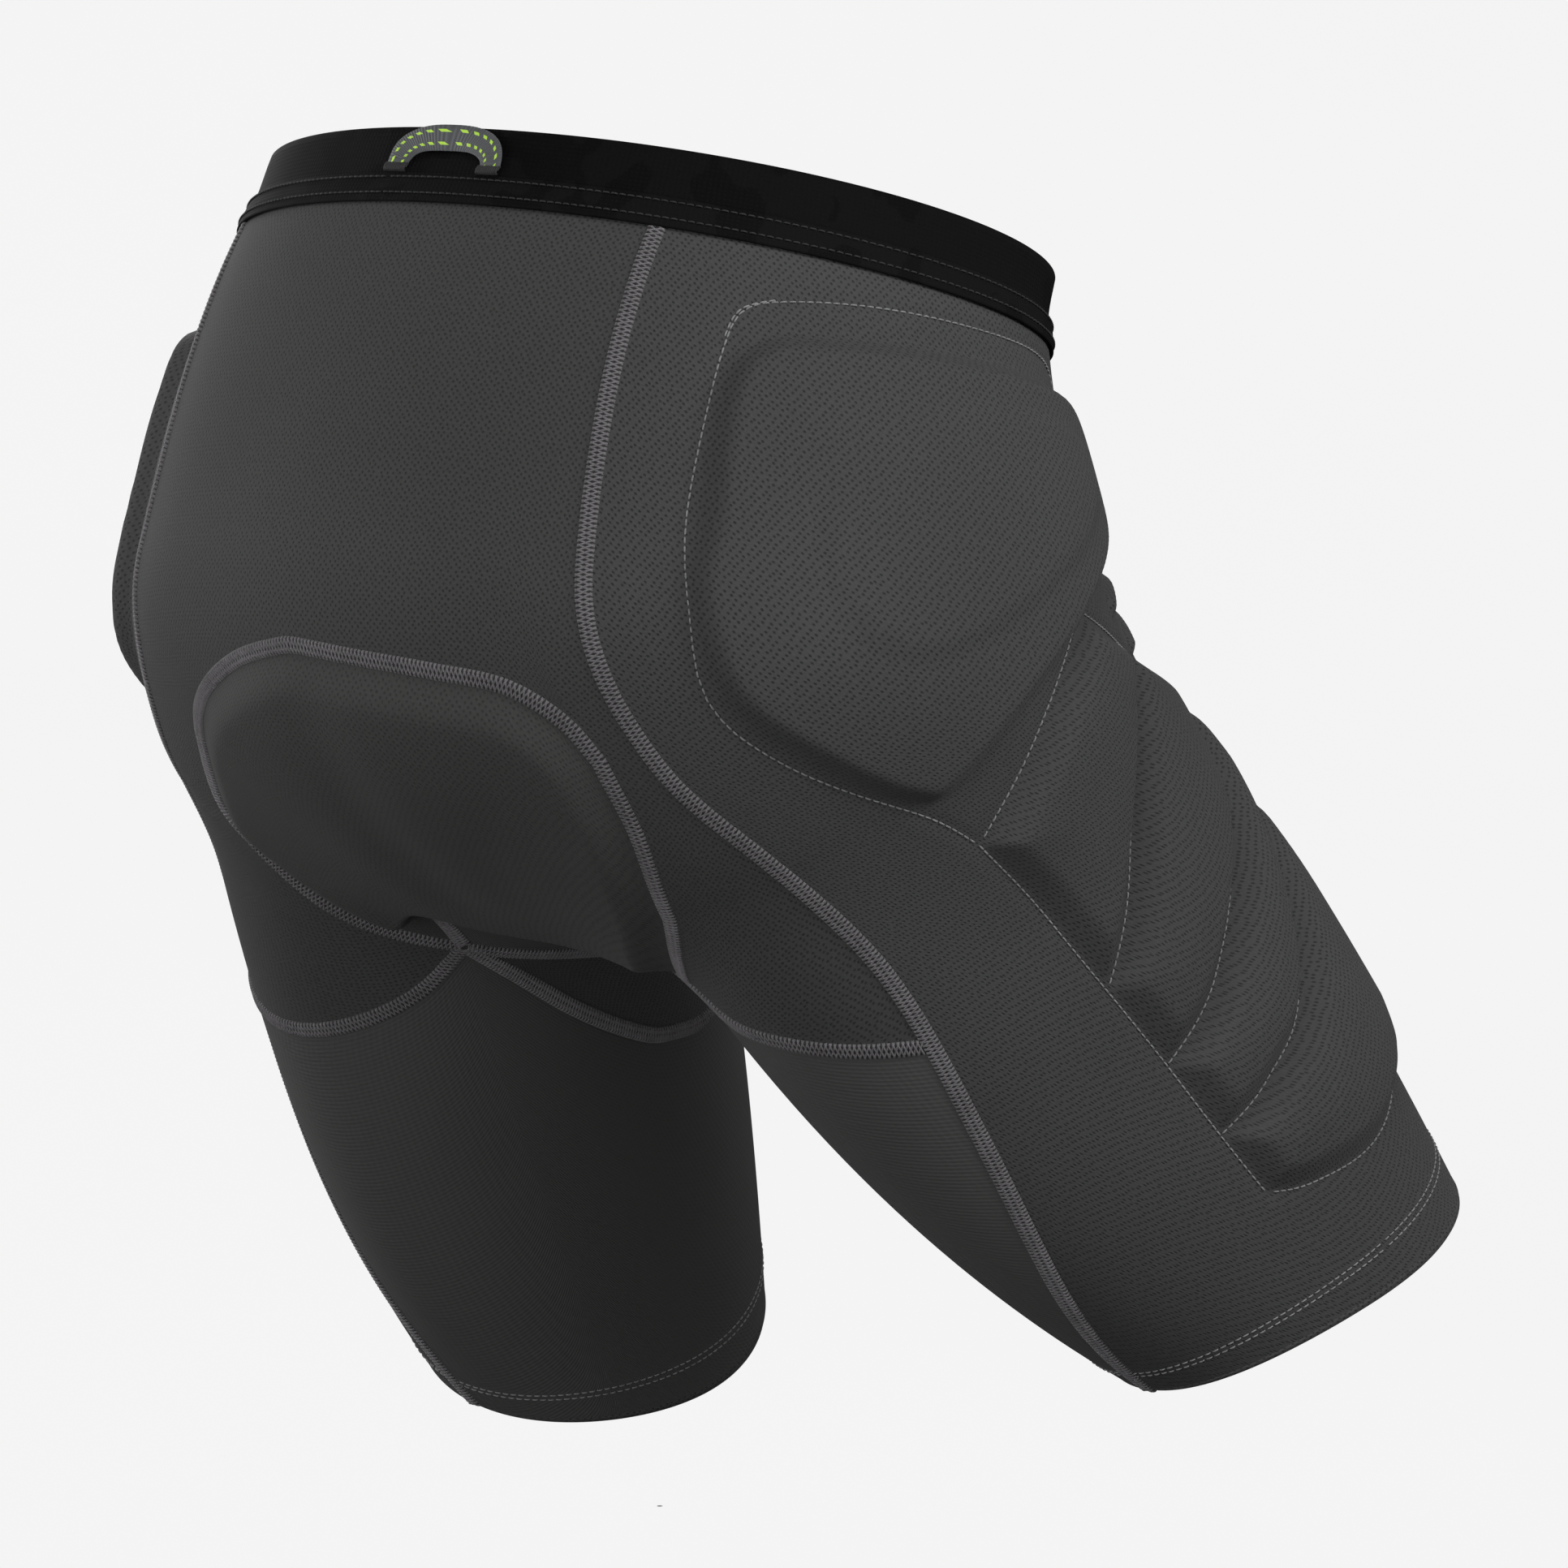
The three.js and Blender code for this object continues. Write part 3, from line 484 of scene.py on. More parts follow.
# ---- Cover relief over the foam of a side ----
# Each slope is its rise and its width in millimetres, and the share of it that is up at the edge.
# Each crown is its rise and the distance in from the edge at which it is full.

HIP_SLOPE = (7.8, 6.5, 0.42)
HIP_CROWN = (1.6, 46)
HIP_INNER_SLOPE = (1.5, 5, 0.5)
THIGH_SLOPE = (6.4, 8, 0)
THIGH_CROWN = (2.4, 24)
THIGH_MARGIN = 1.6
GROOVE_HALF = 1.2
GROOVE_BEND = 3
CREASE_CROWN = (2.6, 5.5)
STITCH_DIP = 0.9
STITCH_DIP_WIDE = 2.3


def thigh_outline():
    fore, rear = spline(THIGH_FORE, steps=6), spline(THIGH_REAR, steps=6)
    top, base = spline(GROOVES[0], steps=6), spline(GROOVES[-1], steps=6)
    return np.concatenate([top[::-1][:-1], fore[:-1], base[:-1], rear[::-1][:-1]])


def drawn(leg, outline):
    """An outline as wrap places and as points on a leg; a closed one ends where it starts."""
    return outline, on_leg(leg, outline)


def looped(outline):
    return np.concatenate([outline, outline[:1]])


for leg in legs.values():
    leg.shield = drawn(leg, spline(HIP_PLATEAU, closed=True, steps=5))
    leg.inner_shield = drawn(leg, spline(HIP_INNER, closed=True, steps=4))
    leg.thigh = drawn(leg, looped(thigh_outline()))
    leg.grooves = [drawn(leg, spline(line, steps=7))[1] for line in GROOVES]
    leg.creases = [drawn(leg, spline(line, steps=5))[1] for line in CREASES]
    leg.hip_line = drawn(leg, spline(HIP_STITCH, steps=4))[1]


def slope(inside, rise, wide, start):
    return rise * facet(inside / wide + start)


def crown(inside, rise, wide):
    return rise * smooth(inside / wide)


def relief(leg, places, points):
    """How far the cover stands out over the foam, in millimetres."""
    shield = depth_inside(places, points, *leg.shield)
    inner = depth_inside(places, points, *leg.inner_shield)
    hip = slope(shield, *HIP_SLOPE) + crown(shield, *HIP_CROWN) + slope(inner, *HIP_INNER_SLOPE)
    whole = depth_inside(places, points, *leg.thigh)
    grooves = [near(points, line) for line in leg.grooves[:-1]]
    groove = np.minimum.reduce(grooves[1:])
    inside = smooth_min(groove - GROOVE_HALF, whole - THIGH_MARGIN, GROOVE_BEND)
    inside = smooth_min(inside, grooves[0] - GROOVE_HALF, GROOVE_BEND)
    thigh = slope(inside, *THIGH_SLOPE) + crown(inside, *THIGH_CROWN)
    folds = np.zeros(whole.shape)
    for line in leg.creases:
        rise, wide = CREASE_CROWN
        folds = np.maximum(folds, rise * smooth(1 - near(points, line) / wide))
    sewn = np.minimum(np.minimum(near(points, leg.hip_line), groove), np.abs(whole))
    dip = STITCH_DIP * np.exp(-((sewn / STITCH_DIP_WIDE) ** 2))
    return np.maximum(np.maximum(hip, thigh), folds) - dip


def cover(leg, places):
    """Points of a side without its relief and with it, and the directions out of the body."""
    plain = on_leg(leg, places)
    out = outwards(plain)
    return plain, plain + out * relief(leg, places, plain)[..., None], out


# ---- Meshes ----

def make_piece(name, points, faces, material, uv=None, normals=None, under=None):
    """A mesh object from points in millimetres and lists of faces with the same number of corners.
    The faces of the first list get the material under, where one is given."""
    corners = np.concatenate([f.ravel() for f in faces])
    sizes = np.concatenate([np.full(len(f), f.shape[1]) for f in faces])
    mesh = bpy.data.meshes.new(name)
    mesh.vertices.add(len(points))
    mesh.vertices.foreach_set("co", (points * METRES).astype(np.float32).ravel())
    mesh.loops.add(len(corners))
    mesh.loops.foreach_set("vertex_index", corners.astype(np.int32))
    mesh.polygons.add(len(sizes))
    mesh.polygons.foreach_set("loop_start", np.concatenate([[0], np.cumsum(sizes)[:-1]]).astype(np.int32))
    mesh.polygons.foreach_set("use_smooth", np.ones(len(sizes), bool))
    if uv is not None:
        layer = mesh.uv_layers.new(name="cloth")
        layer.data.foreach_set("uv", (uv[corners] * METRES).astype(np.float32).ravel())
    mesh.update(calc_edges=True)
    if normals is not None:
        mesh.normals_split_custom_set(normals.tolist())
    mesh.materials.append(material)
    if under is not None:
        mesh.materials.append(under)
        first = np.arange(len(sizes)) < len(faces[0])
        mesh.polygons.foreach_set("material_index", first.astype(np.int32))
    piece = bpy.data.objects.new(name, mesh)
    bpy.context.scene.collection.objects.link(piece)
    return piece


def grid_faces(rows, columns, first=0):
    """Quads of a grid of points, rows by columns."""
    at = first + np.arange(rows * columns).reshape(rows, columns)
    return np.stack([at[:-1, :-1], at[1:, :-1], at[1:, 1:], at[:-1, 1:]], -1).reshape(-1, 4)


def arc_uv(grid, anchor=0, start=None):
    """Millimetres across and down a grid, measured on its surface from the anchor column."""
    across = np.linalg.norm(np.diff(grid, axis=1), axis=-1)
    across = np.concatenate([np.zeros((len(grid), 1)), np.cumsum(across, axis=1)], axis=1)
    across = across - across[:, anchor:anchor + 1]
    down = np.linalg.norm(np.diff(grid, axis=0), axis=-1)
    down = np.concatenate([np.zeros((1, grid.shape[1])), np.cumsum(down, axis=0)])
    uv = np.stack([across, down], -1)
    if start is not None:
        uv = uv + [start[0, 0], 0] + start[None, :] * [0, 1]
    return uv


def edge_points(rows, columns, first):
    at = first + np.arange(rows * columns).reshape(rows, columns)
    return np.concatenate([at[0], at[-1], at[1:-1, 0], at[1:-1, -1]])


WELD = 0.05


def weld(points, faces, borders):
    """Joins grids where their border points meet."""
    ids = np.arange(len(points))
    edge = points[borders]
    for k in range(0, len(borders), 400):
        apart = np.linalg.norm(edge[k:k + 400, None] - edge[None], axis=-1)
        ids[borders[k:k + 400]] = np.where(apart < WELD, borders[None], 10**9).min(axis=1)
    return ids[faces]


def vertex_normals(points, faces):
    p = points[faces]
    area = np.cross(p[:, 2] - p[:, 0], p[:, 3] - p[:, 1])
    total = np.zeros(points.shape)
    for k in range(4):
        np.add.at(total, faces[:, k], area)
    return unit(total)


STRETCH = 0.94
LINING_STRETCH = 0.98


def cloth(pieces, thick, material, stretch=STRETCH):
    """Closed sheets of fabric from grids that meet. Each piece is a name and its grids, and each grid
    is its points and their places on the cloth. Pieces share their normals where they meet."""
    points, uvs, faces, owners, borders = [], [], [], [], []
    first = 0
    for owner, grids in enumerate(pieces.values()):
        for grid, uv in grids:
            rows, columns = grid.shape[:2]
            points.append(grid.reshape(-1, 3))
            uvs.append(uv.reshape(-1, 2))
            new = grid_faces(rows, columns, first)
            faces.append(new)
            owners.append(np.full(len(new), owner))
            borders.append(edge_points(rows, columns, first))
            first += rows * columns
    points, uvs, owners = np.concatenate(points), np.concatenate(uvs), np.concatenate(owners)
    faces = weld(points, np.concatenate(faces), np.unique(np.concatenate(borders)))
    p = points[faces]
    facing = np.cross(p[:, 2] - p[:, 0], p[:, 3] - p[:, 1])
    turned = (facing * gradient(p.mean(axis=1))).sum(-1) < 0
    faces[turned] = faces[turned][:, ::-1]
    normals = vertex_normals(points, faces)
    made = {}
    for owner, name in enumerate(pieces):
        made[name] = closed_sheet(name, points, uvs, faces[owners == owner], normals, thick, material)
        declare_sheet(pieces[name], stretch)
    return made


def panel(name, grid, uv, material):
    """A sheet of fabric from one grid."""
    return cloth({name: [(grid, uv)]}, FABRIC, material)[name]


def lining_sheet(name, grid):
    return cloth({name: [(grid, arc_uv(grid))]}, LINING, LINING_MESH, LINING_STRETCH)[name]


def closed_sheet(name, points, uvs, faces, normals, thick, material):
    """One piece of fabric with two faces and a rim."""
    used, faces = np.unique(faces, return_inverse=True)
    faces = faces.reshape(-1, 4)
    flat = (faces[:, 0] == faces[:, 1]) | (faces[:, 1] == faces[:, 2])
    flat |= (faces[:, 2] == faces[:, 3]) | (faces[:, 3] == faces[:, 0])
    corners = [tuple(dict.fromkeys(face)) for face in faces[flat].tolist()]
    triangles = np.array([c for c in corners if len(c) == 3], int).reshape(-1, 3)
    quads = faces[~flat]
    points, uvs, normals = points[used], uvs[used], normals[used]
    count = len(points)
    edges = np.concatenate(
        [quads[:, [k, (k + 1) % 4]] for k in range(4)]
        + [triangles[:, [k, (k + 1) % 3]] for k in range(3)]
    )
    seen = set(map(tuple, edges.tolist()))
    border = np.array([(a, b) for a, b in edges.tolist() if (b, a) not in seen], int).reshape(-1, 2)
    a, b = border[:, 0], border[:, 1]
    rim = np.stack([b, a, a + count, b + count], -1)
    every = np.concatenate([points, points - normals * thick])
    parts = [quads, triangles, quads[:, ::-1] + count, triangles[:, ::-1] + count, rim]
    outer = unit(np.cross(every[rim[:, 2]] - every[rim[:, 0]], every[rim[:, 3]] - every[rim[:, 1]]))
    both = np.concatenate([normals, -normals])
    loop_normals = np.concatenate([both[f.ravel()] for f in parts[:4]] + [np.repeat(outer, 4, axis=0)])
    return make_piece(name, every, parts, material, np.concatenate([uvs, uvs]), loop_normals)


def declare_sheet(grids, stretch):
    """Works out the flat cut of a worn panel, whose knit is stretched a little on the body, and keeps
    nothing of it.
    """
    area = width = length = 0
    for grid, _ in grids:
        a, b = grid[1:, 1:] - grid[:-1, :-1], grid[1:, :-1] - grid[:-1, 1:]
        area += np.linalg.norm(np.cross(a, b), axis=-1).sum() / 2
        width = max(width, np.linalg.norm(np.diff(grid, axis=1), axis=-1).sum(axis=1).max())
        length += np.linalg.norm(np.diff(grid, axis=0), axis=-1).sum(axis=0).mean()
    flat_area = area * stretch**2
    width = max(width * stretch, flat_area / (0.95 * length * stretch))


def swept_faces(count, steps, corners):
    """Quads and end caps of sections carried along: how many, their steps and their corners."""
    at = np.arange(count * steps * corners).reshape(count, steps, corners)
    ahead = np.roll(at, -1, axis=2)
    quads = np.stack([at[:, :-1], ahead[:, :-1], ahead[:, 1:], at[:, 1:]], -1).reshape(-1, 4)
    return [quads, np.concatenate([at[:, 0, ::-1], at[:, -1]])]


def tubes(paths, normals, radii, sides=5):
    """Points and faces of round threads with closed ends: paths is count by steps by 3."""
    tangent = unit(np.gradient(paths, axis=1))
    aside = unit(np.cross(tangent, normals))
    up = np.cross(aside, tangent)
    turn = 2 * np.pi * np.arange(sides) / sides
    wave = np.cos(turn)[:, None] * aside[:, :, None] + np.sin(turn)[:, None] * up[:, :, None]
    rings = paths[:, :, None] + wave * np.asarray(radii)[None, :, None, None]
    return rings.reshape(-1, 3), swept_faces(*paths.shape[:2], sides)


def joined(parts):
    """Several sets of points and faces as one."""
    points, faces, first = [], [], 0
    for more, lists in parts:
        points.append(more)
        faces += [f + first for f in lists]
        first += len(more)
    return np.concatenate(points), faces


# ---- Placing pieces, and standing in for CAD parts ----


def stand_for(nodes):
    """Hides the CAD nodes that a piece takes the place of, if any."""
    if nodes:
        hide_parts(*nodes)


def bend_with(piece, leg, slot, *nodes):
    """Bakes a piece's placement into its mesh, and hides the CAD nodes that it takes the place of."""
    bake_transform(piece)
    stand_for(nodes)


def ride_on(piece, body, slot, *nodes):
    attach(piece, body)
    stand_for(nodes)


# ---- Materials ----

BLACK = (0, 0, 0, 1)


def shade(value, tint=(1.0, 1.0, 1.0)):
    return (value * tint[0], value * tint[1], value * tint[2], 1.0)


class Nodes:
    """Short ways to add shader nodes to a material. Sizes are in metres."""

    def __init__(self, name, roughness, sheen=0.0, specular=0.3):
        self.material = bpy.data.materials.new(name)
        self.material.use_nodes = True
        self.tree = self.material.node_tree
        self.shader = self.tree.nodes["Principled BSDF"]
        self.shader.inputs["Roughness"].default_value = roughness
        self.shader.inputs["Specular IOR Level"].default_value = specular
        self.shader.inputs["Sheen Weight"].default_value = sheen
        self.shader.inputs["Sheen Roughness"].default_value = 0.5

    def put(self, socket, value):
        if isinstance(value, bpy.types.NodeSocket):
            self.tree.links.new(value, socket)
        else:
            socket.default_value = value

    def math(self, operation, a, b=0.0, c=0.0, clamp=False):
        node = self.tree.nodes.new("ShaderNodeMath")
        node.operation = operation
        node.use_clamp = clamp
        for socket, value in zip(node.inputs, (a, b, c)):
            self.put(socket, value)
        return node.outputs[0]

    def span(self, value, low, high, to_low=0.0, to_high=1.0):
        node = self.tree.nodes.new("ShaderNodeMapRange")
        node.interpolation_type = "SMOOTHSTEP"
        for name, given in zip(("Value", "From Min", "From Max", "To Min", "To Max"),
                               (value, low, high, to_low, to_high)):
            self.put(node.inputs[name], given)
        return node.outputs["Result"]

    def uv(self, turn=0.0):
        source = self.tree.nodes.new("ShaderNodeUVMap")
        source.uv_map = "cloth"
        return self.turned(source.outputs["UV"], turn)

    def turned(self, vector, turn=0.0, shift=(0, 0, 0)):
        node = self.tree.nodes.new("ShaderNodeMapping")
        self.put(node.inputs["Vector"], vector)
        node.inputs["Rotation"].default_value = (0, 0, math.radians(turn))
        node.inputs["Location"].default_value = shift
        return node.outputs["Vector"]

    def place(self):
        return self.tree.nodes.new("ShaderNodeTexCoord").outputs["Object"]

    def noise(self, vector, scale, detail=3.0, roughness=0.5):
        node = self.tree.nodes.new("ShaderNodeTexNoise")
        self.put(node.inputs["Vector"], vector)
        node.inputs["Scale"].default_value = scale
        node.inputs["Detail"].default_value = detail
        node.inputs["Roughness"].default_value = roughness
        return node.outputs["Fac"]

    def patches(self, noise, low, high):
        """A noise spread softly between two levels."""
        return self.span(noise, 0.3, 0.7, low, high)

    def ribs(self, pitch, turn=0.0, direction="X", distortion=0.0):
        """Even waves across the cloth."""
        node = self.tree.nodes.new("ShaderNodeTexWave")
        node.bands_direction = direction
        self.put(node.inputs["Vector"], self.uv(turn))
        node.inputs["Scale"].default_value = 1 / pitch / 6.28
        node.inputs["Distortion"].default_value = distortion
        return node.outputs["Fac"]

    def lattice(self, vector, pitch, wander=0.0):
        """The distance from the nearest point of a square lattice, in pitches."""
        node = self.tree.nodes.new("ShaderNodeTexVoronoi")
        node.voronoi_dimensions = "2D"
        self.put(node.inputs["Vector"], vector)
        node.inputs["Scale"].default_value = 1 / pitch
        node.inputs["Randomness"].default_value = wander
        return node.outputs["Distance"]

    def blend(self, factor, a, b):
        node = self.tree.nodes.new("ShaderNodeMix")
        node.data_type = "RGBA"
        self.put(node.inputs["Factor"], factor)
        self.put(node.inputs["A"], a)
        self.put(node.inputs["B"], b)
        return node.outputs["Result"]

    def finish(self, colour, height=None, depth=0.0003, strength=1.0):
        self.put(self.shader.inputs["Base Color"], colour)
        if height is not None:
            bump = self.tree.nodes.new("ShaderNodeBump")
            bump.inputs["Distance"].default_value = depth
            bump.inputs["Strength"].default_value = strength
            self.put(bump.inputs["Height"], height)
            self.put(self.shader.inputs["Normal"], bump.outputs["Normal"])
        return self.material

    def finish_level(self, level, colour, height, depth, strength=1.0):
        """A colour made lighter or darker by a level."""
        return self.finish(self.blend(level, BLACK, colour), height, depth, strength)


HOLE_SPACING = 0.00187
HOLE_RADIUS = 0.2
HOLE_WANDER = 0.32
TWILL = 0.0008
TWILL_DEPTH = 0.15


def knit(name, value, tint, hole_depth):
    """Stretch knit: staggered pinholes over a fine slanted weave, with soft wear and shade changes."""
    n = Nodes(name, 0.85, sheen=0.03, specular=0.14)
    lattice = n.lattice(n.uv(turn=45), HOLE_SPACING, HOLE_WANDER)
    hole = n.span(lattice, HOLE_RADIUS * 0.5, HOLE_RADIUS * 1.7, 1.0, 0.0)
    yarn = n.math("MULTIPLY", n.ribs(TWILL, turn=32, distortion=0.6), n.ribs(TWILL, direction="Y"))
    fine = n.noise(n.place(), 900.0, detail=2.0)
    cloud = n.patches(n.noise(n.place(), 9.0, detail=4.0), 0.94, 1.06)
    level = n.math("ADD", cloud, n.math("MULTIPLY", yarn, 0.10))
    level = n.math("ADD", level, n.math("MULTIPLY_ADD", fine, 0.2, -0.18))
    level = n.math("MULTIPLY", level, n.math("MULTIPLY_ADD", hole, -hole_depth, 1.0))
    height = n.math("SUBTRACT", n.math("MULTIPLY", yarn, TWILL_DEPTH), n.math("MULTIPLY", hole, hole_depth))
    return n.finish_level(level, shade(value, tint), height, depth=0.00035, strength=0.8)


def ribbed(name, value, tint, pitch):
    """Fine ribbed knit, as on the inner leg."""
    n = Nodes(name, 0.85, sheen=0.02, specular=0.12)
    stitches = n.ribs(pitch * 1.3, turn=24, distortion=0.5)
    ribs = n.ribs(pitch, direction="Y", distortion=0.4)
    yarn = n.math("MULTIPLY_ADD", ribs, 0.6, n.math("MULTIPLY", stitches, 0.4))
    cloud = n.patches(n.noise(n.place(), 11.0, detail=4.0), 0.82, 0.96)
    level = n.math("MULTIPLY_ADD", yarn, 0.26, cloud)
    return n.finish_level(level, shade(value, tint), yarn, depth=0.0002, strength=0.7)


def elastic(name, value):
    """Woven elastic with a tone-on-tone pattern of soft patches and fine ribs across it."""
    n = Nodes(name, 0.8, specular=0.05)
    patches = n.span(n.noise(n.place(), 38.0, detail=1.5), 0.50, 0.53)
    more = n.span(n.noise(n.turned(n.place(), shift=(3, 1, 2)), 55.0, detail=1.0), 0.54, 0.57)
    weave = n.math("MULTIPLY", n.ribs(0.0009), n.ribs(0.0007, direction="Y"))
    level = n.math("ADD", n.math("MULTIPLY", patches, 0.55), n.math("MULTIPLY", more, 0.4))
    level = n.math("ADD", n.math("MULTIPLY_ADD", weave, 0.3, 0.6), level)
    return n.finish_level(level, shade(value), weave, depth=0.0002, strength=0.6)


def thread(name, value, tint):
    """Twisted sewing thread."""
    n = Nodes(name, 0.7, sheen=0.05, specular=0.2)
    fibres = n.noise(n.place(), 1800.0, detail=2.0)
    cloud = n.patches(n.noise(n.place(), 60.0), 0.85, 1.1)
    level = n.math("MULTIPLY", n.patches(fibres, 0.7, 1.15), cloud)
    return n.finish_level(level, shade(value, tint), fibres, depth=0.0001, strength=0.5)


def foam(name, value):
    """Open-cell foam."""
    n = Nodes(name, 0.95, specular=0.15)
    cells = n.noise(n.place(), 700.0, roughness=0.7)
    return n.finish_level(n.patches(cells, 0.6, 1.2), shade(value), cells, depth=0.0004, strength=0.8)


def lining(name, value):
    """Mesh lining: larger round holes in a smooth knit."""
    n = Nodes(name, 0.75, sheen=0.1)
    hole = n.span(n.lattice(n.uv(turn=45), 0.0026), 0.22, 0.34, 1.0, 0.0)
    rows = n.ribs(0.001, direction="Y")
    level = n.math("MULTIPLY_ADD", hole, -0.6, n.math("MULTIPLY_ADD", rows, 0.2, 0.85))
    height = n.math("SUBTRACT", n.math("MULTIPLY", rows, 0.3), hole)
    return n.finish_level(level, shade(value), height, depth=0.0003, strength=0.8)


def ribbon(name, value, tint, bright):
    """Grosgrain ribbon with fine cross ribs and two woven stripes in a bright yarn."""
    n = Nodes(name, 0.6, sheen=0.1)
    split = n.tree.nodes.new("ShaderNodeSeparateXYZ")
    n.put(split.inputs[0], n.uv())
    ribs = n.ribs(0.0006)
    across = n.math("ABSOLUTE", split.outputs["Y"])
    stripe = n.math("SUBTRACT", n.span(across, 0.0016, 0.0018), n.span(across, 0.0026, 0.0028))
    stripe = n.math("MULTIPLY", stripe, n.span(n.ribs(0.0016, turn=45), 0.45, 0.6))
    body = n.blend(n.math("MULTIPLY_ADD", ribs, 0.3, 0.8), BLACK, shade(value, tint))
    return n.finish(n.blend(stripe, body, bright), ribs, depth=0.0002, strength=0.7)


def silicone(name, value):
    n = Nodes(name, 0.35, specular=0.5)
    cloud = n.noise(n.place(), 300.0)
    return n.finish_level(n.patches(cloud, 0.8, 1.2), shade(value), cloud, depth=0.0001)


KNIT_BACK = knit("knit_back", 0.042, (1.0, 1.01, 1.0), 0.5)
KNIT_SIDE = knit("knit_side", 0.046, (1.0, 1.0, 1.01), 0.55)
KNIT_SEAT = knit("knit_seat", 0.042, (1.0, 1.0, 0.98), 0.35)
KNIT_INNER = ribbed("knit_inner", 0.055, (1.0, 0.99, 0.98), 0.0009)
ELASTIC = elastic("elastic", 0.0035)
BINDING = elastic("binding", 0.0045)
SEAM_THREAD = thread("seam_thread", 0.13, (1.0, 0.95, 1.0))
SEAM_TAPE = thread("seam_tape", 0.030, (1.0, 0.97, 1.0))
STITCH = thread("stitch", 0.2, (1.0, 1.0, 1.02))
BLACK_STITCH = thread("black_stitch", 0.022, (1.0, 1.0, 1.05))
FOAM = foam("foam", 0.05)
LINING_MESH = lining("lining_mesh", 0.014)
RIBBON = ribbon("ribbon", 0.062, (0.95, 1.0, 1.08), bright=(0.38, 0.62, 0.05, 1))
SILICONE = silicone("silicone", 0.02)

# ---- Side panels: one piece from waistband to hem, over the hip and thigh foam ----


def side_places(leg, rows=240, columns=160):
    share, across = np.linspace(0, 1, rows + 1), np.linspace(0, 1, columns + 1)[None, :, None]
    places = mix(wrap_curve(BACK_SEAM)(share)[:, None], wrap_curve(FRONT_SEAM)(share)[:, None], across)
    down = (places[..., 1] - BACK_SEAM[0][1]) / (BACK_SEAM[-1][1] - BACK_SEAM[0][1])
    top = band_edge_percent(leg, places[..., 0])
    return np.stack([places[..., 0], mix(top, 100.0, down)], -1)


for name, leg in legs.items():
    plain, grid, _ = cover(leg, side_places(leg))
    piece = panel(f"{name}_side", grid, arc_uv(plain, anchor=grid.shape[1] // 2), KNIT_SIDE)
    bend_with(piece, leg, "knit", f"{name}_side_panel")

# ---- Seat, gusset, back and front ----

for leg in legs.values():
    leg.curves = dict(seat_edge=wrap_curve([*leg.seat_edge, leg.star]))
    for seam in ("gusset_edge", "rear_cross", "front_cross"):
        leg.curves[seam] = wrap_curve([leg.star, *getattr(leg, seam)])

right, left = legs["right"], legs["left"]
seat_top = through_points([
    *on_leg(left, left.shoulder)[::-1], on_centre([SEAT_TOP])[0], *on_leg(right, right.shoulder),
])
seat_base = through_points([
    on_leg(left, left.star), on_leg(left, left.seat_base), on_centre([SEAT_BASE])[0],
    on_leg(right, right.seat_base), on_leg(right, right.star),
])
gusset_front = through_points([
    on_leg(left, left.gusset_edge[-1]), on_centre([GUSSET_FRONT])[0], on_leg(right, right.gusset_edge[-1]),
])


def half_towards(leg, curve, lap=0.0):
    return part(curve, 0.5 - lap, 1) if leg.side > 0 else part(curve, 0.5 + lap, 0)


def side_seam(leg, outline):
    place = wrap_curve(outline)
    seam = placed(leg, place)
    start = share_where(seam, lambda p: -(p @ TRUNK_UP), PANEL_TOP)
    first = seam(np.array([start]))[0]
    turn = math.degrees(math.asin(first[0] / trunk_section(PANEL_TOP)[0]))
    return place, seam, start, turn


def share_at(place, percent):
    return share_where(place, lambda at: at[1], percent)


def one(curve, s):
    return curve(np.array([float(s)]))[0]


def between_places(a, b):
    return lambda s: mix(a, b, np.asarray(s, float)[..., None])


# Columns of the back's and front's upper parts: up to the turn their base follows the seat or the
# gusset, and past it they carry the lower part.
BACK_COLUMNS = 64
BACK_TURN = 48
FRONT_COLUMNS = 63
FRONT_TURN = 28
FRONT_LOWER_COLUMNS = 60
FRONT_HELD = FRONT_COLUMNS - FRONT_TURN


def back_half(leg):
    place, seam, start, turn = side_seam(leg, BACK_SEAM)
    edge, cross = leg.curves["seat_edge"], leg.curves["rear_cross"]
    middle, end = share_at(place, one(edge, 0)[1]), share_at(place, one(cross, 1)[1])
    turn_place = between_places(one(edge, 0), one(place, middle))
    base = chain([half_towards(leg, seat_top), placed(leg, turn_place)], [BACK_TURN / BACK_COLUMNS])
    arc = lambda s: on_trunk(mix(0, turn, s), PANEL_TOP)
    centre_from = centre_degrees(on_trunk(0, PANEL_TOP))
    centre = lambda s: on_centre(mix(centre_from, SEAT_TOP, s))
    upper = settle(coons(centre, part(seam, start, middle), arc, base, 72, BACK_COLUMNS))
    lower_edge = part(place, middle, end)
    lower = coons(edge, lower_edge, turn_place, cross, 60, BACK_COLUMNS - BACK_TURN)
    lower = on_leg(leg, lower)
    uv = arc_uv(upper)
    return [(upper, uv), (lower, arc_uv(lower, start=uv[-1, BACK_TURN:]))]


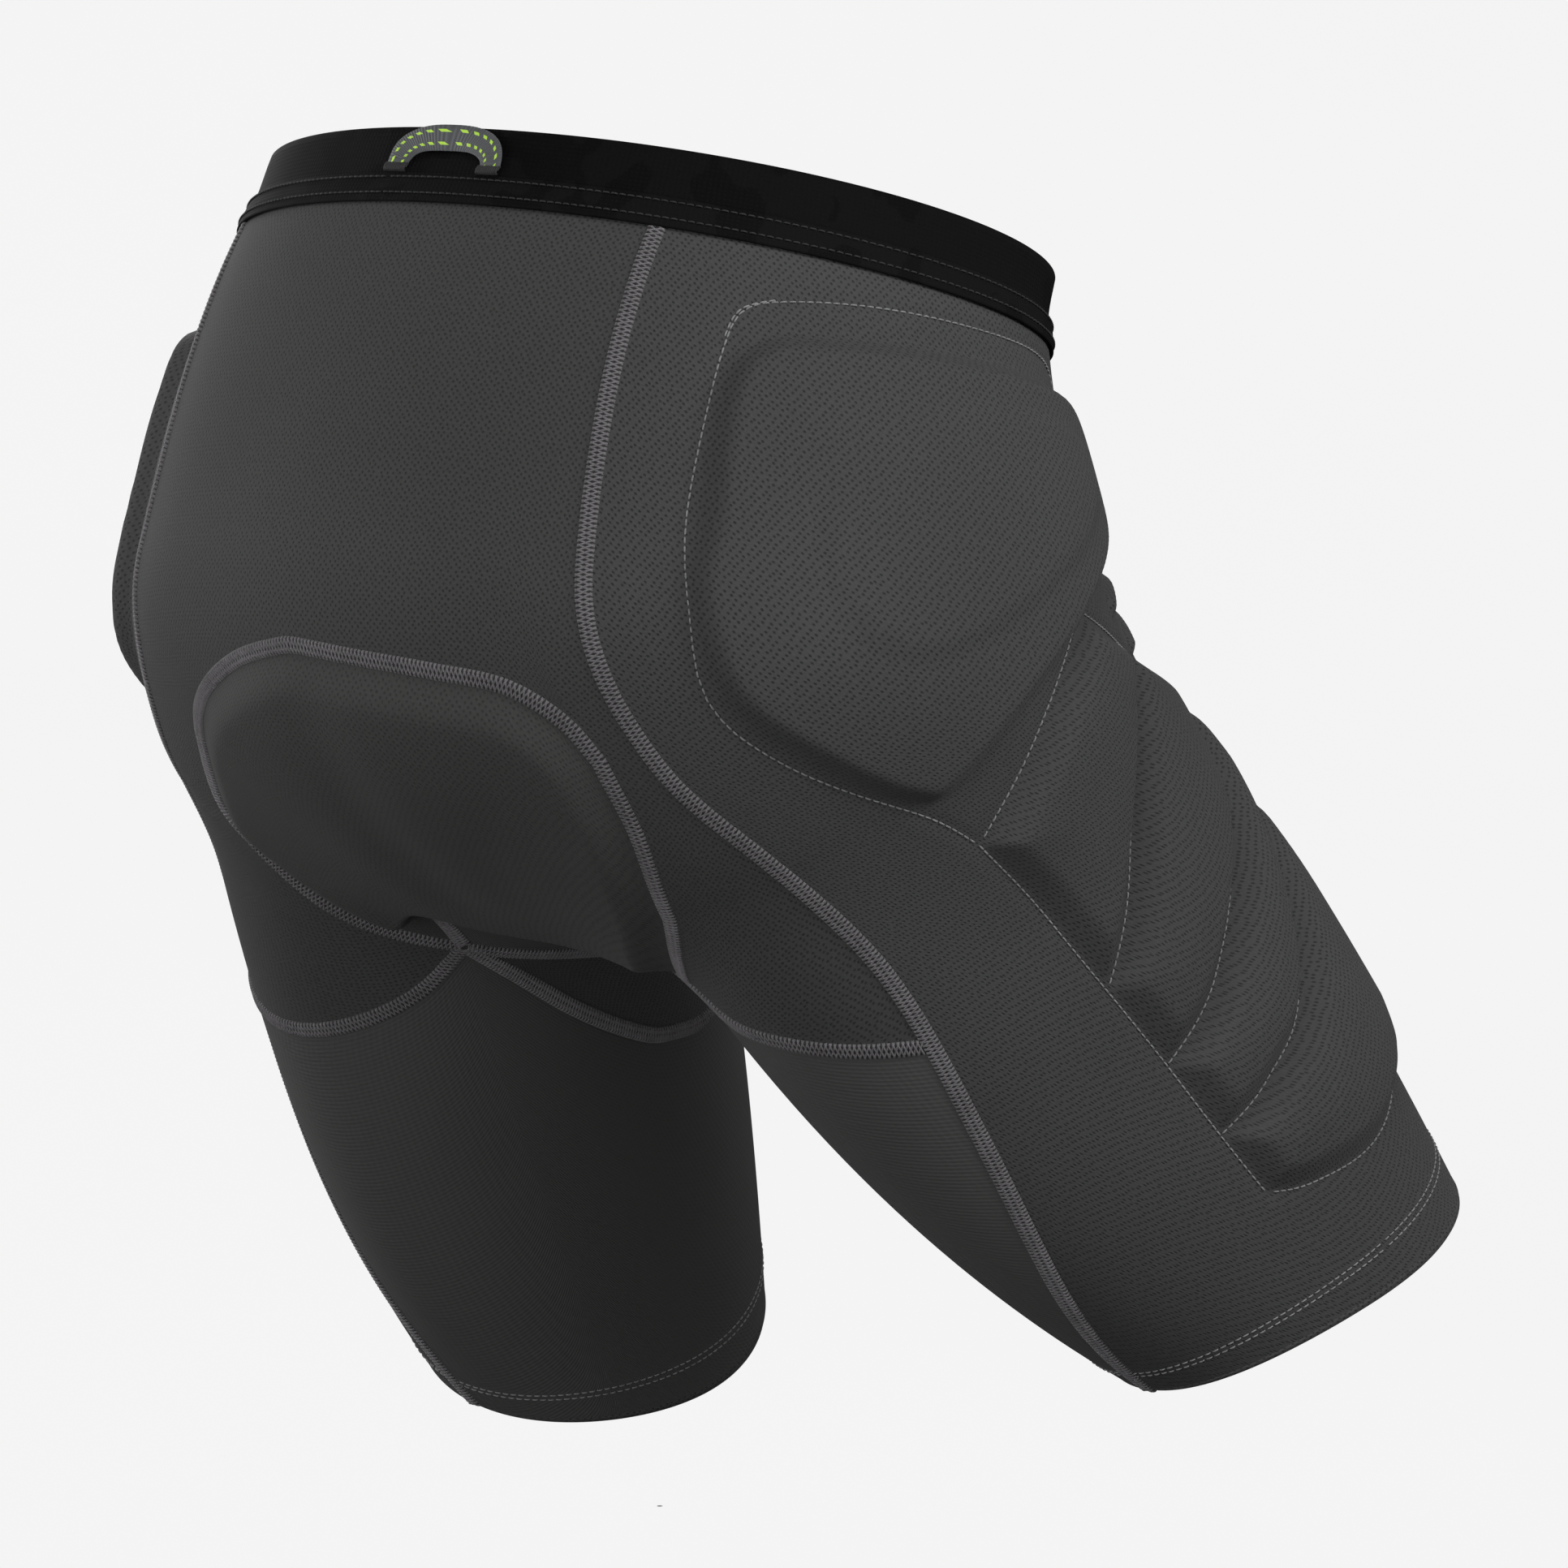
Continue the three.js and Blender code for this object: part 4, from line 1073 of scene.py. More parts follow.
def front_half(leg):
    place, seam, start, turn = side_seam(leg, FRONT_FROM_INSIDE)
    edge, cross = leg.curves["gusset_edge"], leg.curves["front_cross"]
    end = share_at(place, one(cross, 1)[1])
    turn_place = between_places(one(edge, 1), one(place, end))
    changes = [FRONT_TURN / FRONT_COLUMNS]
    base = chain([half_towards(leg, gusset_front), placed(leg, turn_place)], changes)
    arc = lambda s: on_trunk(mix(180 * leg.side, 180 * leg.side - turn, s), PANEL_TOP)
    centre_from = centre_degrees(on_trunk(180, PANEL_TOP))
    centre = lambda s: on_centre(mix(centre_from, GUSSET_FRONT, s))
    upper = settle(coons(centre, part(seam, start, end), arc, base, 60, FRONT_COLUMNS))
    corner, far = one(edge, 0), one(place, end)
    top = chain([edge, turn_place], [FRONT_HELD / FRONT_LOWER_COLUMNS])
    points = (between_places(corner, corner), between_places(far, far))
    lower = on_leg(leg, coons(*points, top, cross, 10, FRONT_LOWER_COLUMNS))
    return [(upper, arc_uv(upper)), (lower, arc_uv(lower, anchor=FRONT_HELD))]


def mirror_uv(grids):
    return [(grid, uv * [-1, 1]) for grid, uv in grids]


def both_halves(name, halves, material, slot, node):
    """A panel across the middle: its halves meet there, and each is a piece of its own; the right one
    stands for the CAD node.
    """
    made = cloth({f"{side}_{name}": grids for side, grids in halves.items()}, FABRIC, material)
    bend_with(made[f"right_{name}"], right, slot, node)
    bend_with(made[f"left_{name}"], left, slot)


back_halves = dict(right=back_half(right), left=mirror_uv(back_half(left)))
both_halves("back", back_halves, KNIT_BACK, "knit", "back_panel")
front_halves = dict(right=front_half(right), left=mirror_uv(front_half(left)))
both_halves("front", front_halves, KNIT_SIDE, "knit", "front_panel")


def crotch_grid(name, top, base, rows, columns):
    edge = [placed(leg, leg.curves[name]) for leg in (left, right)]
    return settle(coons(*edge, top, base, rows, columns))


def cut_in_half(grid, uv):
    middle = grid.shape[1] // 2
    parts = dict(left=slice(0, middle + 1), right=slice(middle, None))
    return {side: [(grid[:, columns], uv[:, columns])] for side, columns in parts.items()}


SEAT_PUFF = 6.0
SEAT_EDGE = 17
SEAT_SLOPE = 5.5
SEAT_FULLER = dict(rise=3.0, above_base=60)
SEAT_HANG = dict(most=6.0, off_edge=6, over=30)
SEAT_VALLEY = dict(deep=1.6, at=4, wide=16, over=30)
SEAT_BARE = dict(wide=11.0, round_star=70)


def downhill(grid, height):
    """The directions along a grid in which a height falls fastest."""
    down, across = np.gradient(grid, axis=0), np.gradient(grid, axis=1)
    fall, drift = np.gradient(height, axis=0), np.gradient(height, axis=1)
    dd, da, aa = (down * down).sum(-1), (down * across).sum(-1), (across * across).sum(-1)
    v, u = aa * fall - da * drift, dd * drift - da * fall
    return -unit(down * v[..., None] + across * u[..., None])


def seat_cover(base_grid):
    """The seat panel over its foam: it swells from its seams and hangs over the one at its base."""
    share = np.linspace(0, 1, 60)
    around = np.concatenate([
        placed(left, left.curves["seat_edge"])(share)[::-1], seat_top(share),
        placed(right, right.curves["seat_edge"])(share),
    ])
    low = seat_base(share)
    from_edge, from_base = near(base_grid, around), near(base_grid, low)
    from_left = near(base_grid, placed(left, left.curves["seat_edge"])(np.linspace(0.45, 1, 40)))
    from_star = np.linalg.norm(base_grid - on_leg(left, left.star), axis=-1)
    bare = SEAT_BARE["wide"] * smooth(1 - from_star / SEAT_BARE["round_star"])
    rise = smooth_min((from_base - bare) / SEAT_SLOPE, (from_left - SEAT_BARE["wide"]) / SEAT_SLOPE, 0.8)
    swell = smooth(from_edge / SEAT_EDGE) * facet(rise)
    puff = SEAT_PUFF + SEAT_FULLER["rise"] * smooth(1 - from_base / SEAT_FULLER["above_base"])
    hollow = np.exp(-((base_grid[..., 0] - SEAT_VALLEY["at"]) / SEAT_VALLEY["wide"]) ** 2)
    valley = SEAT_VALLEY["deep"] * hollow * smooth(from_base / SEAT_VALLEY["over"])
    hang = SEAT_HANG["most"] * smooth(rise) * smooth(1 - (rise - 1) / 3)
    hang = hang * smooth((from_edge - SEAT_HANG["off_edge"]) / SEAT_HANG["over"])
    swollen = base_grid + outwards(base_grid) * ((puff - valley) * swell)[..., None]
    return swollen + downhill(base_grid, rise) * hang[..., None]


seat_base_grid = crotch_grid("seat_edge", seat_top, seat_base, 96, 132)
seat_grid = seat_cover(seat_base_grid)
seat_halves = cut_in_half(seat_grid, arc_uv(seat_base_grid, anchor=66))
both_halves("seat", seat_halves, KNIT_SEAT, "smooth_knit", "seat_panel")

gusset_grid = crotch_grid("gusset_edge", seat_base, gusset_front, 60, 40)
gusset_halves = cut_in_half(gusset_grid, arc_uv(gusset_grid, anchor=20))
both_halves("gusset", gusset_halves, KNIT_INNER, "smooth_knit", "crotch_gusset")

# ---- Inner leg panels: from the back seam round the inside of the thigh to the front seam ----


def inner_leg_places(leg, rows=110, columns=132):
    rear, front = leg.curves["rear_cross"], leg.curves["front_cross"]
    top = chain([part(rear, 1, 0), front], [6 / 22])
    back, fore = wrap_curve(BACK_SEAM), wrap_curve(FRONT_FROM_INSIDE)
    edges = []
    for curve, start in ((back, one(rear, 1)), (fore, one(front, 1))):
        edges.append(part(curve, share_at(curve, start[1]), share_at(curve, 100)))
    base = between_places(one(edges[0], 1), one(edges[1], 1))
    return coons(*edges, top, base, rows, columns)


for name, leg in legs.items():
    grid = on_leg(leg, inner_leg_places(leg))
    piece = panel(f"{name}_inner_leg", grid, arc_uv(grid, anchor=grid.shape[1] // 2), KNIT_INNER)
    bend_with(piece, leg, "smooth_knit", f"{name}_inner_leg_panel")

# ---- Foam and linings under the cover ----

FOAM_UNDER = -2.2
FOAM_LEAST = 0.5
FOAM_SHARE = 0.88
FOAM_RIM = 0.12
COVER_GAP = 1.2
LINING_UNDER = 2.8
SEAT_PAD_UNDER = 3.0
SEAT_PAD_GAP = 0.6
HIP_REAR = [(-70, 16.5), (-70, 38.5)]
HIP_FRONT = [(28, 14), (30, 31)]
HIP_BASE = [(-70, 38.5), (-50, 46.6), (-3, 36.8), (30, 31)]


def closed_pad(name, under, over, material):
    """A closed crowned form between two grids that are drawn together at their rims."""
    rows, columns = under.shape[:2]
    v = np.linspace(-1, 1, rows)[:, None]
    u = np.linspace(-1, 1, columns)[None, :]
    crown = (1 - np.abs(u) ** 12) * (1 - np.abs(v) ** 12)
    over = mix(under, over, np.maximum(crown, FOAM_RIM)[..., None])
    first = rows * columns
    top, base = grid_faces(rows, columns), grid_faces(rows, columns, first)[:, ::-1]
    at = np.arange(first).reshape(rows, columns)
    ring = np.concatenate([at[0, :-1], at[:-1, -1], at[-1, :0:-1], at[:0:-1, 0]])
    after = np.roll(ring, -1)
    rim = np.stack([ring, after, after + first, ring + first], -1)
    points = np.concatenate([over.reshape(-1, 3), under.reshape(-1, 3)])
    facing = np.cross(over[1:, 1:] - over[:-1, :-1], over[:-1, 1:] - over[1:, :-1]).reshape(-1, 3)
    faces = [top, base, rim]
    if (facing * gradient(over[:-1, :-1].reshape(-1, 3))).sum() > 0:
        faces = [face[:, ::-1] for face in faces]
    return make_piece(name, points, faces, material)


def patch(outlines, rows, columns):
    """Places on a leg between four outlines: rear, front, top and base."""
    return coons(*[wrap_curve(outline) for outline in outlines], rows, columns)


def add_pad(leg, name, node, places):
    middle = places.mean(axis=(0, 1))
    places = middle + (places - middle) * FOAM_SHARE
    base = on_leg(leg, places)
    normal = outwards(base)
    rise = np.maximum(relief(leg, places, base) - COVER_GAP - FABRIC, FOAM_UNDER + FOAM_LEAST)
    piece = closed_pad(name, base + normal * FOAM_UNDER, base + normal * rise[..., None], FOAM)
    bend_with(piece, leg, "foam", node)


def add_lining(leg, name, node, places):
    base = on_leg(leg, places)
    bend_with(lining_sheet(name, base - outwards(base) * LINING_UNDER), leg, "lining", node)


for name, leg in legs.items():
    hip = (HIP_REAR, HIP_FRONT, [HIP_REAR[0], HIP_FRONT[0]], HIP_BASE)
    add_pad(leg, f"{name}_hip_foam", f"{name}_hip_pad", patch(hip, 60, 60))
    add_lining(leg, f"{name}_hip_inside", f"{name}_hip_lining", patch(hip, 30, 30))
    for k, (upper, lower) in enumerate(zip(GROOVES, GROOVES[1:]), start=1):
        bounds = ([upper[0], lower[0]], [upper[-1], lower[-1]], upper, lower)
        add_pad(leg, f"{name}_thigh_foam_{k}", f"{name}_thigh_pad_{k}", patch(bounds, 16, 36))
    thigh = (THIGH_REAR, THIGH_FORE, GROOVES[0][::-1], GROOVES[-1][::-1])
    add_lining(leg, f"{name}_thigh_inside", f"{name}_thigh_lining", patch(thigh, 36, 30))

# The seat's foam keeps a few rows and columns off its seams, and needs fewer than the cover.
INSIDE_SEAMS = (slice(6, -6, 3), slice(8, -8, 4))
inner_seat = seat_base_grid[INSIDE_SEAMS]
seat_out = outwards(inner_seat)
over = seat_grid[INSIDE_SEAMS] - seat_out * (FABRIC + SEAT_PAD_GAP)
pad = closed_pad("seat_pad", inner_seat - seat_out * SEAT_PAD_UNDER, over, FOAM)
ride_on(pad, "pelvis", "foam", "seat_foam")
sheet = lining_sheet("seat_inside", inner_seat - seat_out * (SEAT_PAD_UNDER + SEAT_PAD_GAP))
ride_on(sheet, "pelvis", "lining", "seat_lining")

# ---- Flat seams: a raised tape with two rows of slanted threads that cross ----

SEAM_HALF = 3.0
SEAM_UNDER = -0.9
# The tape's section: how far across it, and how high over the fabric.
SEAM_RIGHT = [(0, 0.42), (1.5, 0.55), (2.75, 0.3), (SEAM_HALF, -0.4)]
SEAM_SECTION = [(-a, h) for a, h in SEAM_RIGHT[:0:-1]] + SEAM_RIGHT
THREAD_PITCH = 1.6
THREAD_LEAD = 2.3
THREAD_RADIUS = 0.36
THREAD_END = 2.95
THREAD_MARGIN = 0.3
THREAD_CROSSING = 0.12
# Where a thread bends on its way across, and how high it lies over the tape there.
THREAD_RIGHT = [(0.6, 0.1), (1.6, 0.16), (2.5, 0.1), (THREAD_END, -0.25)]
THREAD_SHAPE = np.array([(-a, h) for a, h in THREAD_RIGHT[::-1]] + THREAD_RIGHT)
SEAM_TOP = BAND["height"] - 1.5
SEAM_PAST_HEM = 0.6
SEAM_LAP = 0.004
# The shares at which a seam of two curves changes from one to the other.
SEAT_EDGE_CHANGE = 0.62
GUSSET_CHANGE = 0.75


def seam_line(curve):
    """Points of a curve a millimetre apart, the directions out and across, and its length."""
    length = lengths(curve(np.linspace(0, 1, 160)))[-1]
    shares = np.linspace(0, 1, int(length))
    points = by_length(curve(shares))(shares)
    out = outwards(points)
    return points, out, unit(np.cross(np.gradient(points, axis=0), out)), length


def seam_tape(points, out, across):
    section = [*SEAM_SECTION, (SEAM_HALF, SEAM_UNDER), (-SEAM_HALF, SEAM_UNDER)]
    rings = np.stack([points + across * a + out * h for a, h in section], 1)
    at = np.arange(len(points) * len(section)).reshape(len(points), len(section))
    ahead = np.roll(at, -1, axis=1)
    quads = np.stack([at[:-1], at[1:], ahead[1:], ahead[:-1]], -1).reshape(-1, 4)
    return rings.reshape(-1, 3), [quads, np.stack([at[0], at[-1, ::-1]])]


def seam_threads(points, out, across, length):
    """Threads laid over the tape, one set leaning each way."""
    at = np.linspace(0, length, len(points))
    offsets, over_tape = THREAD_SHAPE.T
    heights = np.interp(offsets, *np.array(SEAM_SECTION).T) + over_tape
    starts = np.arange(THREAD_MARGIN, length - THREAD_LEAD - THREAD_MARGIN, THREAD_PITCH)
    forward = THREAD_LEAD * (offsets + THREAD_END) / (2 * THREAD_END)
    sets = []
    for lead, lift in ((forward, THREAD_CROSSING), (THREAD_LEAD - forward, 0)):
        place, up, aside = (between(starts[:, None] + lead, at, rows) for rows in (points, out, across))
        bump = lift * (1 - np.abs(offsets) / SEAM_HALF)
        paths = place + aside * offsets[:, None] + up * (heights + bump)[:, None]
        sets.append(tubes(paths, up, np.full(len(offsets), THREAD_RADIUS)))
    return sets


def make_seam(name, curve, leg, *nodes):
    points, out, across, length = seam_line(curve)
    parts = [seam_tape(points, out, across), *seam_threads(points, out, across, length)]
    piece = make_piece(name, *joined(parts), SEAM_THREAD, under=SEAM_TAPE)
    bend_with(piece, leg, "thread", *nodes)


def shared_seam(side_name, name, curve, node):
    """A leg's half of a seam across the middle; the right half stands for the node."""
    leg = legs[side_name]
    make_seam(f"{side_name}_{name}_flatlock", curve, leg, *([node] if leg is right else []))


for name, leg in legs.items():
    for where, outline in (("back", BACK_SEAM), ("front", FRONT_SEAM)):
        place = wrap_curve(outline)
        seam = placed(leg, place)
        start = share_where(seam, lambda p: -(p @ TRUNK_UP), SEAM_TOP)
        seam = part(seam, start, share_at(place, above_hem(leg, -SEAM_PAST_HEM)))
        make_seam(f"{name}_{where}_flatlock", seam, leg, f"{name}_{where}_seam")
    for where in ("rear", "front"):
        seam = placed(leg, leg.curves[f"{where}_cross"])
        make_seam(f"{name}_{where}_cross_flatlock", seam, leg, f"{name}_{where}_cross_seam")
    edge = [half_towards(leg, seat_top, SEAM_LAP), placed(leg, leg.curves["seat_edge"])]
    shared_seam(name, "seat", chain(edge, [SEAT_EDGE_CHANGE]), "seat_edge_seam")
    shared_seam(name, "seat_base", half_towards(leg, seat_base, SEAM_LAP), "seat_base_seam")
    edge = [placed(leg, leg.curves["gusset_edge"]), part(half_towards(leg, gusset_front), 1, 0)]
    shared_seam(name, "gusset", chain(edge, [GUSSET_CHANGE]), "gusset_seam")

# ---- Rows of stitches ----

STITCH_LENGTH = 2.2
STITCH_PITCH = 2.9
# One stitch: the place along it as a share of its length, its height, and its share of the radius.
STITCH_END = [(0.15, 0.42, 1), (0.38, 0.32, 0.9), (0.5, -0.1, 0.5)]
STITCH_SHAPE = np.array([(-at, high, share) for at, high, share in STITCH_END[::-1]] + STITCH_END)
CORNER_TACK = dict(outline=[(-67, 13.4), (-72.5, 14.8), (-74, 17.5)], aside=0.9, skip=1.2)
HEM_STITCHES = dict(heights=(14.0, 16.6), sunk=0.25, radius=0.27)
RING = np.linspace(0, 360, 361)


def stitches(points, out, radius=0.32, skip=0.0):
    """Short threads laid end to end along a line on the surface."""
    at = lengths(points)
    along, high, share = STITCH_SHAPE.T
    centres = np.arange(skip + STITCH_PITCH / 2, at[-1] - STITCH_PITCH / 2, STITCH_PITCH)
    s = centres[:, None] + along * STITCH_LENGTH
    up = between(s, at, out)
    return tubes(between(s, at, points) + up * high[:, None], up, radius * share, sides=6)


def cover_line(leg, outline):
    """Points of a line on the cover of a side, and the directions out of the body."""
    return cover(leg, wrap_curve(outline)(np.linspace(0, 1, 160)))[1:]


for name, leg in legs.items():
    sets = [stitches(*cover_line(leg, line)) for line in (HIP_STITCH, THIGH_REAR, THIGH_FORE, *GROOVES)]
    tack, out = cover_line(leg, CORNER_TACK["outline"])
    aside = unit(np.cross(np.gradient(tack, axis=0), out)) * CORNER_TACK["aside"]
    sets.append(stitches(tack + aside, out, skip=CORNER_TACK["skip"]))
    bend_with(make_piece(f"{name}_lockstitch", *joined(sets), STITCH), leg, "thread")
    sets = []
    for height in HEM_STITCHES["heights"]:
        line = on_leg(leg, np.stack([RING, np.full(RING.shape, above_hem(leg, height))], -1))
        out = outwards(line)
        sets.append(stitches(line - out * HEM_STITCHES["sunk"], out, HEM_STITCHES["radius"]))
    bend_with(make_piece(f"{name}_hem_stitch", *joined(sets), STITCH), leg, "thread")

# ---- Waistband, hems and grippers: closed sections drawn round an opening ----


def ring_piece(name, section, at, steps, material):
    """A band round an opening. The section's points are a height or depth, and how far out it is."""
    levels, offsets = np.array(section, float).T
    around, down = np.meshgrid(np.linspace(0, 360, steps, endpoint=False), levels, indexing="ij")
    base = at(around, down)
    points = base + outwards(base) * offsets[None, :, None]
    count = len(section)
    ids = np.arange(steps * count).reshape(steps, count)
    ahead, next_ring = np.roll(ids, -1, axis=1), np.roll(ids, -1, axis=0)
    both = np.roll(next_ring, -1, axis=1)
    faces = np.stack([ids, next_ring, both, ahead], -1).reshape(-1, 4)
    p = points.reshape(-1, 3)[faces]
    volume = (np.cross(p[:, 1] - p[:, 0], p[:, 2] - p[:, 0]) * p.mean(axis=1)).sum()
    if volume < 0:
        faces = faces[:, ::-1]
    length = np.linalg.norm(points - np.roll(points, 1, axis=0), axis=-1).mean(axis=1).cumsum()
    uv = np.stack([*np.meshgrid(length, levels, indexing="ij")], -1)
    piece = make_piece(name, points.reshape(-1, 3), [faces], material, uv.reshape(-1, 2))
    return piece, float(length[-1])


def sewn_ring(name, section, at, steps, material):
    """A band that is a strip of cloth of some width, sewn round an opening."""
    piece, length = ring_piece(name, section, at, steps, material)
    return piece


BAND_FLARE = dict(out=5.0, above=-6, over=25)
BAND_TOP = 2.8
BAND_STEPS = 288
BINDING_TOP = BAND["height"] - BAND["binding"]
BINDING_FOLD = 1.6
WAIST_STITCHES = dict(depths=(BINDING_TOP + 3.2, BAND["height"] - 1.0), raised=1.65, radius=0.3)
HEM_STEPS = 180


def flare(depth):
    """How far the free upper part of the waistband leans outwards."""
    share = (np.asarray(depth, float) - BAND_FLARE["above"]) / BAND_FLARE["over"]
    return BAND_FLARE["out"] * smooth(1 - share)


def rounded_band(start, end, inner, outer, bulge=0.0):
    """The section of a band with rounded edges, from one depth to another."""
    soft = (outer - inner) / 2
    levels = np.linspace(start, end, 11)
    crown = outer + bulge * np.sin(np.pi * np.linspace(0, 1, 11)) + flare(levels)
    middle = (inner + outer) / 2
    top, base = (start - soft * 0.7, middle + flare(start)), (end + soft * 0.7, middle)
    inside = zip(levels[::-1], inner + flare(levels[::-1]))
    return [top, *zip(levels, crown), base, *inside]


band_section = rounded_band(BAND_TOP, BAND["height"] - 0.4, 0.2 - BAND["thick"], 0.2, 0.5)
band = sewn_ring("waistband", band_section, on_trunk, BAND_STEPS, ELASTIC)
ride_on(band, "pelvis", "elastic", "waistband_elastic")
binding_section = rounded_band(BINDING_TOP + BINDING_FOLD, BAND["height"] + BINDING_FOLD, 0.5, 1.5, 0.3)
binding = sewn_ring("waist_binding", binding_section, on_trunk, BAND_STEPS, BINDING)
ride_on(binding, "pelvis", "elastic", "waistband_binding")

turns = np.linspace(0, 360, 481)
sets = []
for depth in WAIST_STITCHES["depths"]:
    line = on_trunk(turns, np.full(turns.shape, depth))
    out = outwards(line)
    sets.append(stitches(line + out * WAIST_STITCHES["raised"], out, WAIST_STITCHES["radius"]))
ride_on(make_piece("waist_stitch", *joined(sets), BLACK_STITCH), "pelvis", "thread")

# The hem's section, from the outside round its lower edge and up the inside, then back down.
TURNED_UP = [
    (1.6, 0.05), (0.2, 0.15), (-1.2, -0.3), (-1.9, -1.3), (-1.2, -2.4), (0.2, -2.9), (2.0, -3.0),
    (6, -3.0), (11, -3.0), (HEM_HEIGHT, -2.95), (HEM_HEIGHT + 0.5, -2.4), (HEM_HEIGHT, -2.05),
    (11, -2.1), (6, -2.1), (2.4, -2.05), (0.8, -1.7), (0.0, -1.3), (0.4, -0.9), (1.6, -0.75),
]
# The gripper's section: a flat back, and a face of low waves.
GRIP = [(1.5, -3.2), (GRIPPER_HEIGHT, -3.2)]
for level in np.arange(GRIPPER_HEIGHT, 1.4, -0.75):
    GRIP.append((level, -3.9 - 0.35 * math.cos(level * 2.1) ** 2))

for name, leg in legs.items():
    def at_hem(degrees, height, leg=leg):
        return on_leg(leg, np.stack([degrees, above_hem(leg, height)], -1))

    hem = sewn_ring(f"{name}_hem_turned", TURNED_UP, at_hem, HEM_STEPS, KNIT_SIDE)
    bend_with(hem, leg, "knit", f"{name}_hem")
    grip, _ = ring_piece(f"{name}_grip", GRIP, at_hem, HEM_STEPS, SILICONE)
    bend_with(grip, leg, "silicone", f"{name}_gripper")

# ---- Hang loop ----

OVER_BINDING = 1.35
ARCH = 0.72
RIPPLE = dict(high=0.35, waves=5)
# The ribbon's length for each radian of its arch, in millimetres.
RIBBON_RADIUS = 19

loop_turn = math.degrees(math.asin(LOOP["across"] / WAIST["half_width"]))
loop_foot = on_trunk(loop_turn, BINDING_TOP)
loop_out = outwards(loop_foot)
loop_along = unit(np.cross(TRUNK_UP, loop_out))
loop_up = unit(np.cross(loop_out, loop_along))
loop_at = loop_foot + loop_out * (OVER_BINDING + LOOP["gap"])


def on_loop(x, y, z):
    return loop_at + x[..., None] * loop_along + y[..., None] * loop_up + z[..., None] * loop_out


def hang_loop():
    """A ribbon bent into an arch with a flattened top, whose faces bow and ripple a little."""
    steps = 64
    turn = np.linspace(0, np.pi, steps)
    inner = (LOOP["span"] / 2 - LOOP["ribbon"], LOOP["rise"] - LOOP["ribbon"] * LOOP["top_share"])
    outer = (LOOP["span"] / 2, LOOP["rise"])
    across = np.array([0.0, 0.04, 0.25, 0.5, 0.75, 0.96, 1.0])
    share = np.concatenate([across, across[::-1]])
    thick = np.concatenate([[0.5, 0.9, 1.05, 1.1, 1.05, 0.9, 0.5], [0.5, 0.05, 0, 0, 0, 0.05, 0.5]])
    arch_x = np.sign(np.cos(turn)) * np.abs(np.cos(turn)) ** ARCH
    x = mix(inner[0], outer[0], share)[None] * arch_x[:, None]
    y = mix(inner[1], outer[1], share)[None] * (np.sin(turn) ** ARCH)[:, None]
    ripple = RIPPLE["high"] * np.sin(turn * RIPPLE["waves"])[:, None] * (share - 0.5)[None]
    z = thick[None] * LOOP["thick"] + ripple + flare(BINDING_TOP - y)
    points = on_loop(x, y, z)
    along_and_across = np.meshgrid(RIBBON_RADIUS * turn, (share - 0.5) * LOOP["ribbon"], indexing="ij")
    uv = np.stack(along_and_across, -1)
    faces = swept_faces(1, steps, len(share))
    return make_piece("hang_ribbon", points.reshape(-1, 3), faces, RIBBON, uv.reshape(-1, 2))


piece = hang_loop()
ride_on(piece, "loop", "ribbon", "hang_loop")

TACK = dict(half=4.4, threads=15, below=0.4, radius=0.33)
# A tack's thread: how far up it goes, and how high it lies over the binding.
TACK_SHAPE = [(-1.5, 0.4), (-1.2, 1.15), (-0.4, 1.35), (0.4, 1.35), (1.2, 1.15), (1.5, 0.4)]


def bar_tack(centre):
    """A block of short threads side by side that holds a ribbon's end."""
    rows = np.linspace(-TACK["half"], TACK["half"], TACK["threads"])
    along, high = np.array(TACK_SHAPE).T
    x, y = np.meshgrid(centre + rows, along - TACK["below"], indexing="ij")
    paths = on_loop(x, y, np.broadcast_to(high, x.shape))
    return tubes(paths, np.broadcast_to(loop_out, paths.shape), np.full(len(high), TACK["radius"]))


half_span = (LOOP["span"] - LOOP["ribbon"]) / 2
tacks = make_piece("loop_tacks", *joined([bar_tack(-half_span), bar_tack(half_span)]), BLACK_STITCH)
ride_on(tacks, "pelvis", "thread")

# ---- Camera, floor and light ----

CAMERA = dict(
    turn=46, height=4.6, distance=2600, aside=43.1, up=-193.7, scale=3.6, frame=1932, sensor=36,
)


def add_camera():
    turn, height = math.radians(CAMERA["turn"]), math.radians(CAMERA["height"])
    across = np.array([math.cos(turn), math.sin(turn), 0])
    level = np.array([math.sin(turn), -math.cos(turn), 0])
    back = level * math.cos(height) + np.array([0, 0, math.sin(height)])
    up = np.cross(back, across)
    at = (across * CAMERA["aside"] + up * CAMERA["up"] + back * CAMERA["distance"]) * METRES
    data = bpy.data.cameras.new("camera")
    data.sensor_width = CAMERA["sensor"]
    data.lens = CAMERA["scale"] * CAMERA["distance"] / CAMERA["frame"] * CAMERA["sensor"]
    data.clip_end = 50
    camera = bpy.data.objects.new("camera", data)
    axes = np.column_stack([across, up, back])
    camera.matrix_world = Matrix.Translation(at) @ Matrix(axes.tolist()).to_4x4()
    bpy.context.scene.collection.objects.link(camera)
    bpy.context.scene.camera = camera
    return back, across


LIGHT_CENTRE = np.array([0, 0.03, -0.2])
LIGHT_DISTANCE = 2.2
